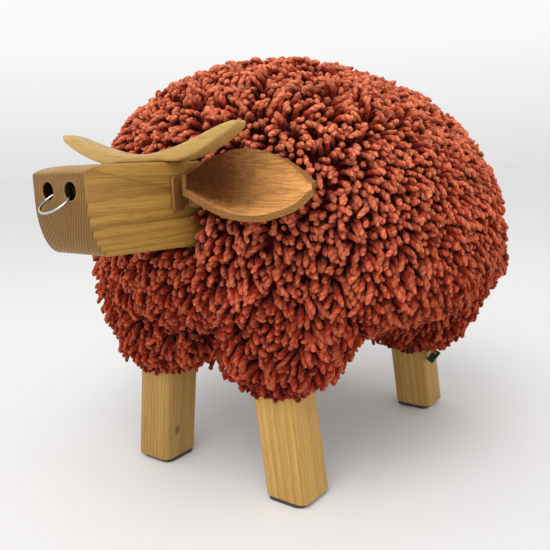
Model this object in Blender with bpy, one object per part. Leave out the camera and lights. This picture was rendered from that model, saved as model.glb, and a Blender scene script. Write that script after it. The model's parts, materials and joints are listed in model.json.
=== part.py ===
"""Animal footstool: a splayed timber frame, a foam body in a loop-pile cover, and a carved wooden head.

The animal faces -Y, its left side is +X, and the floor is at Z = 0. All pieces hang on one empty, whose
place is midway between the four feet. It stands behind the scene's origin, which is midway between the
front of the nose ring and the rear of the cover.
"""

import math

import bmesh
import bpy
from mathutils import Matrix, Vector

# Clearance between touching pieces, and the extra length that every cutter has
GAP = 0.0003
OVERRUN = 0.004

# Legs: square timber with rounded long edges, splayed sideways
LEG_SIDE = 0.044
LEG_EDGE_RADIUS = 0.008
LEG_EDGE_STEPS = 3
LEG_FOOT_X = 0.0822
LEG_FOOT_Y = 0.1342
LEG_TOP = 0.250
LEG_SPLAY_SHARE = 0.122

# Foot pads under the legs
PAD_THICK = 0.004
PAD_INSET = 0.0025
PAD_CHAMFER = 0.001

# Plywood frame
BOARD_THICK = 0.012
FRAME_BOTTOM = 0.165
FRONT_BOARD_BELOW_HEAD_TOP = 0.0054
FRONT_BOARD_CREST = 0.084

# Coach screws: two from each side board into each leg
LEG_SCREW_RADIUS = 0.004
LEG_SCREW_HEAD_RADIUS = 0.0075
LEG_SCREW_HEAD_THICK = 0.0050
LEG_SCREW_LENGTH = 0.046
LEG_SCREW_ABOVE_FRAME_BOTTOM = 0.0220
LEG_SCREW_BELOW_LEG_TOP = 0.0230

# Countersunk screws that hold the frame boards together
SCREW_RADIUS = 0.002
SCREW_HEAD_RADIUS = 0.004
SCREW_HEAD_DEPTH = 0.0026
SCREW_LENGTH = 0.034
SCREW_EDGE = 0.0100
TOP_SCREW_Y = 0.075

# Head block
HEAD_WIDTH = 0.062
HEAD_FRONT_Y = -0.2980
HEAD_HEIGHT = 0.0696
HEAD_BELOW_LEG_TOP = 0.0162
HEAD_JAW_RISE = 0.0037
HEAD_BROW_DEPTH = 0.036
HEAD_BROW_DROP = 0.0068
HEAD_CHIN_DEPTH = 0.018
HEAD_CHIN_RISE = 0.040
HEAD_EDGE = 0.003
HEAD_CURVE_STEPS = 7

# Nostrils, and the hole through the septum that carries the nose ring
NOSTRIL_X = 0.0130
NOSTRIL_BELOW_HEAD_TOP = 0.0182
NOSTRIL_RADIUS = 0.0065
NOSTRIL_DEPTH = 0.026
SEPTUM_HOLE_Y = -0.2912
SEPTUM_HOLE_RADIUS = 0.0026

# Nose ring
RING_RADIUS = 0.0128
RING_WIRE_RADIUS = 0.0009
RING_HANG = math.radians(36)
RING_SLACK = 0.0008
RING_TURN_STEPS = 36
RING_WIRE_STEPS = 6

# Bolts from the front board into the head block, with their washers
NECK_BOLT_RADIUS = 0.004
NECK_BOLT_HEAD_RADIUS = 0.0065
NECK_BOLT_HEAD_THICK = 0.0053
NECK_BOLT_LENGTH = 0.050
NECK_BOLT_X = 0.0140
NECK_BOLT_BELOW_HEAD_TOP = 0.0244
NECK_WASHER_RADIUS = 0.0085
NECK_WASHER_THICK = 0.0016

# Horns: one crescent of timber across the head
HORN_SPAN = 0.2010
HORN_DEPTH = 0.0200
HORN_FRONT_Y = -0.2225
HORN_FLAT = 0.078
HORN_MIDDLE_THICK = 0.0062
HORN_RISE = 0.0272
HORN_TIP_THICK = 0.0040
HORN_EDGE = 0.0022
HORN_STEPS = 20
HORN_EDGE_STEPS = 3
HORN_TIP_DEPTH_SHARE = 0.66
HORN_TAPER_START_SHARE = 0.82
HORN_EDGE_MOST_SHARE = 0.6
# How sharply the underside lifts off the head, and how the top edge sweeps up to the tips
HORN_UNDER_POWER = 1.56
HORN_SWEEP_POWER = 1.37
HORN_HOLLOW_POWER = 2.2

# Dowels between the horns and the head block
DOWEL_RADIUS = 0.004
DOWEL_IN_HEAD = 0.022
DOWEL_IN_HORN = 0.0045
DOWEL_X = 0.018

# Ears: cupped leaves of thick leather
EAR_LENGTH = 0.1071
EAR_SWEEP = math.radians(10)
EAR_BASE_Y = -0.2030
EAR_BELOW_HEAD_TOP = 0.0165
EAR_HALF_HEIGHT = 0.0252
EAR_THICK = 0.0050
EAR_TIP_DROP = 0.0049
EAR_ARCH = 0.0027
EAR_LENGTH_STEPS = 14
EAR_HEIGHT_STEPS = 8
EAR_ROOM_GAP = 0.0010
EAR_ROOM_AHEAD = 0.050
EAR_STEM_REACH = 0.010
EAR_STEM_DEPTH = 0.012
EAR_STEM_AHEAD = 0.001
EAR_STEM_HEIGHT = 0.0209
EAR_STEM_BELOW_HEAD_TOP = 0.0160
# Half height at even steps from the base to the tip, as shares of the largest
EAR_HEIGHT_SHARES = (0.24, 0.54, 0.79, 0.92, 1.00, 0.92, 0.75, 0.50, 0.08)
# The leaf curls from a lip that lies almost level at the bottom to an upright top
EAR_LIP_ANGLE = math.radians(15)
EAR_TOP_ANGLE = math.radians(92)
EAR_LIP_SHARE = 0.62
# It opens forwards and outwards, and its base end curls forwards too
EAR_FACING_OUT = 0.80
EAR_FACING_LOW = 0.037
EAR_BASE_CURL = 0.010
EAR_BASE_CURL_SHARE = 0.13

# Leather tabs that hold the ears' front fold on the head
TAB_HEIGHT = 0.028
TAB_WIDTH = 0.0125
TAB_THICK = 0.0034
TAB_EDGE = 0.0012
TAB_BELOW_HEAD_TOP = 0.0109

# Ear screws, one through the stem of each ear into the side of the head
EAR_SCREW_RADIUS = 0.00175
EAR_SCREW_HEAD_RADIUS = 0.0035
EAR_SCREW_HEAD_THICK = 0.0022
EAR_SCREW_LENGTH = 0.0195

# Body cover: the widest ring of the dome, its crown and its lower edge
COVER_HALF_WIDTH = 0.2110
COVER_WIDEST_Y = -0.0370
COVER_FRONT_Y = -0.2050
COVER_REAR_Y = 0.2100
COVER_WIDEST_Z = 0.2130
COVER_CROWN_Z = 0.3990
COVER_BELLY_Z = 0.1500
PILE_THICK = 0.0220
COVER_AROUND_STEPS = 36
COVER_UP_STEPS = 8
COVER_CROWN_FLAT_SHARE = 0.5
FRONT_PLAN_POWER = 2.1
REAR_PLAN_POWER = 2.8
SIDE_PROFILE_POWER = 2.0
FRONT_PROFILE_POWER = 2.45
REAR_PROFILE_POWER = 2.15
# Lower half of the dome: how far down and how far out each ring lies
BELLY_DOWN_SHARES = (0.22, 0.46, 0.68, 0.86, 0.97, 1.00)
BELLY_OUT_SHARES = (0.998, 0.98, 0.94, 0.86, 0.75, 0.60)

# Sleeves of the cover round the legs: middles and half sizes at the hem and at the shoulder
FRONT_HEM_Z = 0.101
FRONT_HEM_HALF_X = 0.041
FRONT_HEM_HALF_Y = 0.033
FRONT_HEM_X = 0.067
FRONT_SHOULDER_HALF_X = 0.076
FRONT_SHOULDER_HALF_Y = 0.056
FRONT_SHOULDER_X = 0.086
FRONT_SHOULDER_Y = 0.118
REAR_HEM_Z = 0.073
REAR_HEM_HALF_X = 0.041
REAR_HEM_HALF_Y = 0.038
REAR_HEM_X = 0.077
REAR_SHOULDER_HALF_X = 0.078
REAR_SHOULDER_HALF_Y = 0.062
REAR_SHOULDER_X = 0.108
REAR_SHOULDER_Y = 0.126
SHOULDER_Z = 0.225
SLEEVE_AROUND_STEPS = 20
SLEEVE_POWER = 2.3
# Rings of a sleeve from hem to shoulder: how far up, how far swollen, and how far shifted
SLEEVE_UP_SHARES = (0.0, 0.05, 0.24, 0.48, 0.72, 1.0)
SLEEVE_SWELL_SHARES = (0.0, 0.28, 0.64, 0.88, 1.0, 0.72)
SLEEVE_SHIFT_SHARES = (0.0, 0.0, 0.16, 0.52, 0.92, 0.60)

# Foam under the cover
FOAM_GAP = 0.0008

# Dust cover under the belly
DUST_THICK = 0.0012
DUST_LEG_GAP = 0.0010

# Side tab sewn by one corner into the hem of the rear left sleeve
SIDE_TAB_SIDE = 0.016
SIDE_TAB_THICK = 0.0012
SIDE_TAB_X = 0.1075
SIDE_TAB_Y = 0.1220
SIDE_TAB_Z = 0.0665
SIDE_TAB_TURN = math.radians(45)
SIDE_TAB_LEAN = math.radians(40)

# Sides of round pieces
ROUND_SIDES = 10
NOSTRIL_SIDES = 20

# Colours, with roughness and metallic value
OAK = (0.46, 0.29, 0.10), 0.55, 0.0
PALE_OAK = (0.55, 0.38, 0.15), 0.55, 0.0
PLYWOOD = (0.62, 0.47, 0.28), 0.70, 0.0
DOWEL_WOOD = (0.66, 0.52, 0.34), 0.65, 0.0
LEATHER = (0.42, 0.18, 0.06), 0.80, 0.0
PILE = (0.53, 0.10, 0.03), 0.95, 0.0
FOAM = (0.86, 0.83, 0.70), 0.95, 0.0
CALICO = (0.05, 0.05, 0.05), 0.90, 0.0
FELT = (0.05, 0.04, 0.035), 0.95, 0.0
CHROME = (0.80, 0.80, 0.82), 0.12, 1.0
ZINC = (0.62, 0.62, 0.60), 0.35, 1.0
GREEN_CLOTH = (0.01, 0.10, 0.04), 0.90, 0.0

SMOOTH_ANGLE = math.radians(40)


def clear_scene():
    for thing in list(bpy.data.objects):
        bpy.data.objects.remove(thing, do_unlink=True)


def make_material(name, finish):
    colour, roughness, metallic = finish
    material = bpy.data.materials.new(name)
    material.use_nodes = True
    shader = material.node_tree.nodes["Principled BSDF"]
    shader.inputs["Base Color"].default_value = (*colour, 1.0)
    shader.inputs["Roughness"].default_value = roughness
    shader.inputs["Metallic"].default_value = metallic
    material.diffuse_color = (*colour, 1.0)
    return material


def add_empty(name, location, parent=None):
    empty = bpy.data.objects.new(name, None)
    bpy.context.collection.objects.link(empty)
    empty.location = location
    empty.parent = parent
    return empty


def add_object(name, mesh, location=(0, 0, 0), finish=None, smooth=True):
    """Link a mesh as an object. A finish makes it a piece, and without one it is a cutter."""
    thing = bpy.data.objects.new(name, mesh)
    bpy.context.collection.objects.link(thing)
    thing.location = location
    thing.parent = bpy.data.objects["footstool"]
    if finish is None:
        thing.hide_render = True
        thing.display_type = "WIRE"
        return thing
    mesh.materials.append(make_material(name, finish))
    if smooth:
        mesh.shade_smooth()
        mesh.set_sharp_from_angle(angle=SMOOTH_ANGLE)
    return thing


def mesh_from(name, points, faces):
    mesh = bpy.data.meshes.new(name)
    mesh.from_pydata([tuple(point) for point in points], [], faces)
    shape = bmesh.new()
    shape.from_mesh(mesh)
    bmesh.ops.recalc_face_normals(shape, faces=shape.faces)
    shape.to_mesh(mesh)
    shape.free()
    return mesh


def loft(name, rings):
    """A closed body through rings of equally many points, capped at both ends."""
    count = len(rings[0])
    points = [point for ring in rings for point in ring]
    faces = [tuple(reversed(range(count)))]
    for level in range(len(rings) - 1):
        low = level * count
        high = low + count
        for step in range(count):
            after = (step + 1) % count
            faces.append((low + step, low + after, high + after, high + step))
    faces.append(tuple(range((len(rings) - 1) * count, len(rings) * count)))
    return mesh_from(name, points, faces)


def halve_quads(mesh):
    """Split four-sided faces the same way: a curved shape then has flat faces, parallel to its insets."""
    shape = bmesh.new()
    shape.from_mesh(mesh)
    quads = [face for face in shape.faces if len(face.verts) == 4]
    bmesh.ops.triangulate(shape, faces=quads, quad_method="FIXED")
    shape.to_mesh(mesh)
    shape.free()
    return mesh


def merge(name, meshes):
    """One mesh with the bodies of several, which stay separate bodies."""
    shape = bmesh.new()
    for mesh in meshes:
        shape.from_mesh(mesh)
        bpy.data.meshes.remove(mesh)
    whole = bpy.data.meshes.new(name)
    shape.to_mesh(whole)
    shape.free()
    return whole


def moved(mesh, matrix):
    mesh.transform(matrix)
    return mesh


def turned(name, profile, sides):
    """A body turned about Z from (radius, height) pairs, bottom to top."""
    rings = []
    for radius, height in profile:
        ring = []
        for step in range(sides):
            angle = 2 * math.pi * step / sides
            ring.append((radius * math.cos(angle), radius * math.sin(angle), height))
        rings.append(ring)
    return loft(name, rings)


def rounded_rectangle(half_x, half_y, radius, steps):
    """Corner arcs of a rectangle round the origin, anticlockwise."""
    outline = []
    corners = ((1, 1, 0), (-1, 1, 1), (-1, -1, 2), (1, -1, 3))
    for sign_x, sign_y, quarter in corners:
        for step in range(steps + 1):
            angle = (quarter + step / steps) * math.pi / 2
            x = sign_x * (half_x - radius) + radius * math.cos(angle)
            y = sign_y * (half_y - radius) + radius * math.sin(angle)
            outline.append((x, y))
    return outline


def prism_along_y(name, outline, low_y, high_y):
    """An outline of (x, z) pairs carried from low_y to high_y."""
    rings = [[(x, y, z) for x, z in outline] for y in (low_y, high_y)]
    return loft(name, rings)


def prism_along_x(name, outline, low_x, high_x):
    """An outline of (y, z) pairs carried from low_x to high_x."""
    rings = [[(x, y, z) for y, z in outline] for x in (low_x, high_x)]
    return loft(name, rings)


def box(name, low, high):
    outline = ((low[0], low[2]), (high[0], low[2]), (high[0], high[2]), (low[0], high[2]))
    return prism_along_y(name, outline, low[1], high[1])


def boolean(piece, other, operation="DIFFERENCE"):
    step = piece.modifiers.new(other.name, "BOOLEAN")
    step.operation = operation
    step.solver = "EXACT"
    step.object = other


def cut(piece, *cutters):
    for cutter in cutters:
        boolean(piece, cutter)


def soften(piece, width, segments=2):
    """Round a piece's sharp edges."""
    step = piece.modifiers.new("rounded edges", "BEVEL")
    step.width = width
    step.segments = segments
    step.limit_method = "ANGLE"
    step.angle_limit = SMOOTH_ANGLE
    step.use_clamp_overlap = True


def leg_middle_x(height):
    """Distance of a leg's middle from the centre plane at a height."""
    return LEG_FOOT_X - LEG_SPLAY_SHARE * height


def leg_outer_x(height):
    return leg_middle_x(height) + LEG_SIDE / 2


def board_inner_x(height):
    return leg_outer_x(height) + GAP


def board_outer_x(height):
    return board_inner_x(height) + BOARD_THICK


LEG_SCREW_LOW_Z = FRAME_BOTTOM + LEG_SCREW_ABOVE_FRAME_BOTTOM
LEG_SCREW_HIGH_Z = LEG_TOP - LEG_SCREW_BELOW_LEG_TOP
HEAD_BOTTOM = LEG_TOP - HEAD_BELOW_LEG_TOP
HEAD_TOP = HEAD_BOTTOM + HEAD_HEIGHT
FRONT_BOARD_TOP = HEAD_TOP - FRONT_BOARD_BELOW_HEAD_TOP
NOSTRIL_Z = HEAD_TOP - NOSTRIL_BELOW_HEAD_TOP
NECK_BOLT_Z = HEAD_TOP - NECK_BOLT_BELOW_HEAD_TOP
EAR_BASE_Z = HEAD_TOP - EAR_BELOW_HEAD_TOP
EAR_STEM_HIGH = HEAD_TOP - EAR_STEM_BELOW_HEAD_TOP
EAR_STEM_LOW = EAR_STEM_HIGH - EAR_STEM_HEIGHT
TAB_TOP = HEAD_TOP - TAB_BELOW_HEAD_TOP
LEG_BACK_Y = LEG_FOOT_Y + LEG_SIDE / 2
FRONT_BOARD_REAR_Y = -LEG_BACK_Y - GAP
FRONT_BOARD_FRONT_Y = FRONT_BOARD_REAR_Y - BOARD_THICK
REAR_BOARD_REAR_Y = LEG_FOOT_Y - LEG_SIDE / 2 - GAP
REAR_BOARD_FRONT_Y = REAR_BOARD_REAR_Y - BOARD_THICK
TOP_BOARD_LOW = LEG_TOP + GAP
TOP_BOARD_HIGH = TOP_BOARD_LOW + BOARD_THICK
HEAD_HALF = HEAD_WIDTH / 2
HEAD_REAR_Y = FRONT_BOARD_FRONT_Y - GAP
SPLAY_ANGLE = math.atan(LEG_SPLAY_SHARE)
RING_FRONT_Y = SEPTUM_HOLE_Y - math.cos(RING_HANG) * (2 * RING_RADIUS - RING_SLACK) - RING_WIRE_RADIUS
FEET_MIDDLE_Y = -(RING_FRONT_Y + COVER_REAR_Y) / 2

CORNERS = (
    ("front_left", 1, -1),
    ("front_right", -1, -1),
    ("rear_left", 1, 1),
    ("rear_right", -1, 1),
)
SIDES = (("left", 1), ("right", -1))


def leg_mesh(name, side, grow=0.0, low=PAD_THICK, high=LEG_TOP):
    """A leg about its own foot: a rounded square that leans inwards as it rises."""
    outline = rounded_rectangle(LEG_SIDE / 2 + grow, LEG_SIDE / 2 + grow, LEG_EDGE_RADIUS, LEG_EDGE_STEPS)
    rings = []
    for height in (low, high):
        shift = -side * LEG_SPLAY_SHARE * height
        rings.append([(x + shift, y, height) for x, y in outline])
    return loft(name, rings)


def foot_location(side, end):
    return (side * LEG_FOOT_X, end * LEG_FOOT_Y, 0)


def fasten(places, profile, bore, finish):
    """One turned fastener at each named place. Returns a cutter with all their bores."""
    bores = []
    for name, place in places:
        add_object(name, moved(turned(name, profile, ROUND_SIDES), place), finish=finish)
        bores.append(moved(turned("bore", bore, ROUND_SIDES), place))
    label = places[0][0] + "_bores"
    return add_object(label, merge(label, bores))


def rooms_round(label, places, radius, low, high):
    """A cutter with a cylinder of room at each place."""
    profile = ((radius, low), (radius, high))
    rooms = [moved(turned("room", profile, ROUND_SIDES), place) for _, place in places]
    return add_object(label, merge(label, rooms))


def side_board_place(side, y, height):
    """A placement on a side board's outer face, with its Z axis pointing out of the board."""
    tilt = Matrix.Rotation(side * (math.pi / 2 - SPLAY_ANGLE), 4, "Y")
    return Matrix.Translation((side * board_outer_x(height), y, height)) @ tilt


def leg_screws():
    places = []
    for corner, side, end in CORNERS:
        for level, height in (("low", LEG_SCREW_LOW_Z), ("high", LEG_SCREW_HIGH_Z)):
            name = "leg_screw_" + corner + "_" + level
            places.append((name, side_board_place(side, end * LEG_FOOT_Y, height)))
    profile = (
        (LEG_SCREW_RADIUS, GAP - LEG_SCREW_LENGTH),
        (LEG_SCREW_RADIUS, GAP),
        (LEG_SCREW_HEAD_RADIUS, GAP),
        (LEG_SCREW_HEAD_RADIUS, GAP + LEG_SCREW_HEAD_THICK),
    )
    bore = ((LEG_SCREW_RADIUS + GAP, -LEG_SCREW_LENGTH), (LEG_SCREW_RADIUS + GAP, OVERRUN))
    room_high = GAP + LEG_SCREW_HEAD_THICK + GAP
    rooms = rooms_round("leg_screw_rooms", places, LEG_SCREW_HEAD_RADIUS + GAP, -OVERRUN, room_high)
    return fasten(places, profile, bore, ZINC), rooms


def collar(name, inner, outer, low, high, sides):
    """A ring with a square section, turned about Z."""
    points = []
    for radius, height in ((inner, low), (outer, low), (outer, high), (inner, high)):
        for step in range(sides):
            angle = 2 * math.pi * step / sides
            points.append((radius * math.cos(angle), radius * math.sin(angle), height))
    faces = []
    for band in range(4):
        low_row = band * sides
        high_row = (band + 1) % 4 * sides
        for step in range(sides):
            after = (step + 1) % sides
            faces.append((low_row + step, low_row + after, high_row + after, high_row + step))
    return mesh_from(name, points, faces)


def legs_and_pads(bores):
    for corner, side, end in CORNERS:
        name = "leg_" + corner
        leg = add_object(name, leg_mesh(name, side), foot_location(side, end), OAK)
        cut(leg, bores)

        pad_half = LEG_SIDE / 2 - PAD_INSET
        pad_top = PAD_THICK - GAP
        lean = -side * LEG_SPLAY_SHARE * PAD_THICK
        rings = []
        for inset, height in ((PAD_CHAMFER, 0), (0, PAD_CHAMFER), (0, pad_top)):
            half = pad_half - inset
            outline = rounded_rectangle(half, half, LEG_EDGE_RADIUS, LEG_EDGE_STEPS)
            rings.append([(x + lean, y, height) for x, y in outline])
        name = "foot_pad_" + corner
        add_object(name, loft(name, rings), foot_location(side, end), FELT)


def frame_screws():
    """Countersunk screws: each stands on the outer face of the board that it enters, pointing in."""
    rear_y = (REAR_BOARD_FRONT_Y + REAR_BOARD_REAR_Y) / 2
    places = []
    for label, side in SIDES:
        for level, height in (("low", FRAME_BOTTOM + SCREW_EDGE), ("high", LEG_TOP - SCREW_EDGE)):
            middle = side * (board_inner_x(height) + board_outer_x(height)) / 2
            spot = Matrix.Translation((middle, FRONT_BOARD_FRONT_Y, height))
            name = "front_board_screw_" + label + "_" + level
            places.append((name, spot @ Matrix.Rotation(math.pi / 2, 4, "X")))
        middle_z = (FRAME_BOTTOM + LEG_TOP) / 2
        places.append(("rear_board_screw_" + label, side_board_place(side, rear_y, middle_z)))
        middle = side * (board_inner_x(LEG_TOP) + board_outer_x(LEG_TOP)) / 2
        lean = Matrix.Rotation(-side * SPLAY_ANGLE, 4, "Y")
        for end, y in (("front", -TOP_SCREW_Y), ("rear", TOP_SCREW_Y)):
            name = "top_board_screw_" + end + "_" + label
            places.append((name, Matrix.Translation((middle, y, TOP_BOARD_HIGH)) @ lean))
    profile = (
        (SCREW_RADIUS, -SCREW_LENGTH),
        (SCREW_RADIUS, -SCREW_HEAD_DEPTH),
        (SCREW_HEAD_RADIUS, -GAP),
    )
    bore = (
        (SCREW_RADIUS + GAP, -SCREW_LENGTH - GAP),
        (SCREW_RADIUS + GAP, -SCREW_HEAD_DEPTH - GAP),
        (SCREW_HEAD_RADIUS + GAP, -GAP),
        (SCREW_HEAD_RADIUS + GAP, OVERRUN),
    )
    return fasten(places, profile, bore, ZINC)


def frame_boards(leg_bores, screw_bores, neck_bores):
    for label, side in SIDES:
        outline = [
            (side * board_inner_x(FRAME_BOTTOM), FRAME_BOTTOM),
            (side * board_outer_x(FRAME_BOTTOM), FRAME_BOTTOM),
            (side * board_outer_x(LEG_TOP), LEG_TOP),
            (side * board_inner_x(LEG_TOP), LEG_TOP),
        ]
        name = "side_board_" + label
        board = add_object(name, prism_along_y(name, outline, -LEG_BACK_Y, LEG_BACK_Y), finish=PLYWOOD)
        cut(board, leg_bores, screw_bores)

    crest = FRONT_BOARD_CREST / 2
    outline = [
        (-board_outer_x(FRAME_BOTTOM), FRAME_BOTTOM),
        (board_outer_x(FRAME_BOTTOM), FRAME_BOTTOM),
        (board_outer_x(LEG_TOP), LEG_TOP),
        (crest, FRONT_BOARD_TOP),
        (-crest, FRONT_BOARD_TOP),
        (-board_outer_x(LEG_TOP), LEG_TOP),
    ]
    mesh = prism_along_y("front_board", outline, FRONT_BOARD_FRONT_Y, FRONT_BOARD_REAR_Y)
    board = add_object("front_board", mesh, finish=PLYWOOD)
    cut(board, screw_bores, neck_bores)

    outline = [
        (-board_inner_x(FRAME_BOTTOM) + GAP, FRAME_BOTTOM),
        (board_inner_x(FRAME_BOTTOM) - GAP, FRAME_BOTTOM),
        (board_inner_x(LEG_TOP) - GAP, LEG_TOP),
        (-board_inner_x(LEG_TOP) + GAP, LEG_TOP),
    ]
    mesh = prism_along_y("rear_board", outline, REAR_BOARD_FRONT_Y, REAR_BOARD_REAR_Y)
    board = add_object("rear_board", mesh, finish=PLYWOOD)
    cut(board, screw_bores)

    half = board_outer_x(TOP_BOARD_HIGH)
    low = (-half, -LEG_BACK_Y, TOP_BOARD_LOW)
    high = (half, LEG_BACK_Y, TOP_BOARD_HIGH)
    board = add_object("top_board", box("top_board", low, high), finish=PLYWOOD)
    cut(board, screw_bores)


def head_profile():
    """The head's side view as (y, z) pairs, from the throat round the chin and brow to the rear."""
    outline = [(HEAD_REAR_Y, HEAD_BOTTOM)]
    jaw = HEAD_BOTTOM + HEAD_JAW_RISE
    for step in range(HEAD_CURVE_STEPS + 1):
        angle = math.pi / 2 * step / HEAD_CURVE_STEPS
        y = HEAD_FRONT_Y + HEAD_CHIN_DEPTH * (1 - math.sin(angle))
        z = jaw + HEAD_CHIN_RISE * (1 - math.cos(angle))
        outline.append((y, z))
    brow_low = HEAD_TOP - HEAD_BROW_DROP
    for step in range(HEAD_CURVE_STEPS + 1):
        angle = math.pi / 2 * step / HEAD_CURVE_STEPS
        y = HEAD_FRONT_Y + HEAD_BROW_DEPTH * (1 - math.cos(angle))
        z = brow_low + HEAD_BROW_DROP * math.sin(angle)
        outline.append((y, z))
    outline.append((HEAD_REAR_Y, HEAD_TOP))
    return outline


def neck_bolts():
    """Bolts from behind the front board into the head. Each placement's Z axis points back."""
    turn = Matrix.Rotation(-math.pi / 2, 4, "X")
    washer_high = GAP + NECK_WASHER_THICK
    head_low = washer_high + GAP
    head_high = head_low + NECK_BOLT_HEAD_THICK
    profile = (
        (NECK_BOLT_RADIUS, head_low - NECK_BOLT_LENGTH),
        (NECK_BOLT_RADIUS, head_low),
        (NECK_BOLT_HEAD_RADIUS, head_low),
        (NECK_BOLT_HEAD_RADIUS, head_high),
    )
    inner = NECK_BOLT_RADIUS + GAP
    bore = ((inner, head_low - NECK_BOLT_LENGTH - GAP), (inner, OVERRUN))
    places = []
    for label, side in SIDES:
        place = Matrix.Translation((side * NECK_BOLT_X, FRONT_BOARD_REAR_Y, NECK_BOLT_Z)) @ turn
        places.append(("neck_bolt_" + label, place))
        name = "neck_washer_" + label
        washer = collar(name, inner, NECK_WASHER_RADIUS, GAP, washer_high, ROUND_SIDES)
        add_object(name, moved(washer, place), finish=ZINC)
    rooms = rooms_round("neck_bolt_rooms", places, NECK_WASHER_RADIUS + GAP, -OVERRUN, head_high + GAP)
    return fasten(places, profile, bore, ZINC), rooms


def horn_dowels():
    low = HEAD_TOP - DOWEL_IN_HEAD
    high = HEAD_TOP + GAP + DOWEL_IN_HORN
    y = HORN_FRONT_Y + HORN_DEPTH / 2
    places = [("horn_dowel_" + label, Matrix.Translation((side * DOWEL_X, y, 0))) for label, side in SIDES]
    profile = ((DOWEL_RADIUS, low), (DOWEL_RADIUS, high))
    bore = ((DOWEL_RADIUS + GAP, low - GAP), (DOWEL_RADIUS + GAP, high + GAP))
    return fasten(places, profile, bore, DOWEL_WOOD)


def head(neck_bores, dowel_bores, ear_bores):
    mesh = prism_along_x("head_block", head_profile(), -HEAD_HALF, HEAD_HALF)
    block = add_object("head_block", mesh, finish=OAK)
    soften(block, HEAD_EDGE, 3)

    nostrils = []
    for _, side in SIDES:
        turn = Matrix.Rotation(math.pi / 2, 4, "X")
        spot = (side * NOSTRIL_X, HEAD_FRONT_Y, NOSTRIL_Z)
        profile = ((NOSTRIL_RADIUS, -NOSTRIL_DEPTH), (NOSTRIL_RADIUS, OVERRUN))
        mesh = turned("nostril", profile, NOSTRIL_SIDES)
        nostrils.append(moved(mesh, Matrix.Translation(spot) @ turn))
    nostril_cutter = add_object("nostril_bores", merge("nostril_bores", nostrils))

    profile = ((SEPTUM_HOLE_RADIUS, -NOSTRIL_X), (SEPTUM_HOLE_RADIUS, NOSTRIL_X))
    hole = turned("septum_hole", profile, ROUND_SIDES)
    turn = Matrix.Rotation(math.pi / 2, 4, "Y")
    place = Matrix.Translation((0, SEPTUM_HOLE_Y, NOSTRIL_Z))
    septum_cutter = add_object("septum_hole", moved(hole, place @ turn))
    cut(block, nostril_cutter, septum_cutter, neck_bores, dowel_bores, ear_bores)


def nose_ring():
    """A closed wire ring whose object stands on the hinge axis in the septum, hanging forwards and down."""
    hinge = add_empty("nose_ring_hinge", (0, SEPTUM_HOLE_Y, NOSTRIL_Z), bpy.data.objects["footstool"])

    down = Vector((0, -math.cos(RING_HANG), -math.sin(RING_HANG)))
    across = Vector((1, 0, 0))
    points = []
    for turn in range(RING_TURN_STEPS):
        angle = 2 * math.pi * turn / RING_TURN_STEPS
        outward = across * math.sin(angle) - down * math.cos(angle)
        middle = down * (RING_RADIUS - RING_SLACK) + outward * RING_RADIUS
        square = across.cross(down)
        for step in range(RING_WIRE_STEPS):
            bend = 2 * math.pi * step / RING_WIRE_STEPS
            points.append(middle + (outward * math.cos(bend) + square * math.sin(bend)) * RING_WIRE_RADIUS)
    faces = []
    for turn in range(RING_TURN_STEPS):
        row = turn * RING_WIRE_STEPS
        after_row = (turn + 1) % RING_TURN_STEPS * RING_WIRE_STEPS
        for step in range(RING_WIRE_STEPS):
            after = (step + 1) % RING_WIRE_STEPS
            faces.append((row + step, row + after, after_row + after, after_row + step))
    ring = add_object("nose_ring", mesh_from("nose_ring", points, faces), finish=CHROME)
    ring.parent = hinge


def horn_ring(share):
    """One cross-section of the crescent. The share runs from -1 at the right tip to 1 at the left tip."""
    x = share * HORN_SPAN / 2
    away = abs(share)
    flat = HORN_FLAT / HORN_SPAN
    climb = max(0, (away - flat) / (1 - flat))
    sweep = (1 - (1 - away) ** HORN_SWEEP_POWER) ** HORN_HOLLOW_POWER
    base = HEAD_TOP + GAP
    low = base + (HORN_RISE - HORN_TIP_THICK) * climb**HORN_UNDER_POWER
    high = base + HORN_MIDDLE_THICK + (HORN_RISE - HORN_MIDDLE_THICK) * sweep
    towards_tip = max(0, (away - HORN_TAPER_START_SHARE) / (1 - HORN_TAPER_START_SHARE))
    half_depth = HORN_DEPTH / 2 * (1 - (1 - HORN_TIP_DEPTH_SHARE) * towards_tip**2)
    middle_y = HORN_FRONT_Y + HORN_DEPTH / 2
    half_height = (high - low) / 2
    radius = min(HORN_EDGE, half_height * HORN_EDGE_MOST_SHARE)
    ring = []
    for across, up in rounded_rectangle(half_depth, half_height, radius, HORN_EDGE_STEPS):
        ring.append((x, middle_y + across, low + half_height + up))
    return ring


def horns(dowel_bores):
    shares = []
    for step in range(HORN_STEPS + 1):
        shares.append(math.sin(math.pi / 2 * (2 * step / HORN_STEPS - 1)))
    rings = [horn_ring(share) for share in shares]
    crescent = add_object("horns", loft("horns", rings), finish=PALE_OAK)
    cut(crescent, dowel_bores)


def between(shares, place):
    """Read a table of evenly spaced shares at a place from 0 to 1."""
    spot = place * (len(shares) - 1)
    index = min(int(spot), len(shares) - 2)
    return shares[index] + (shares[index + 1] - shares[index]) * (spot - index)


def ear_back(side):
    """The way in which an ear's hollow deepens: away from where it opens."""
    return Vector((-side * EAR_FACING_OUT, 1, -EAR_FACING_LOW))


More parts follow.
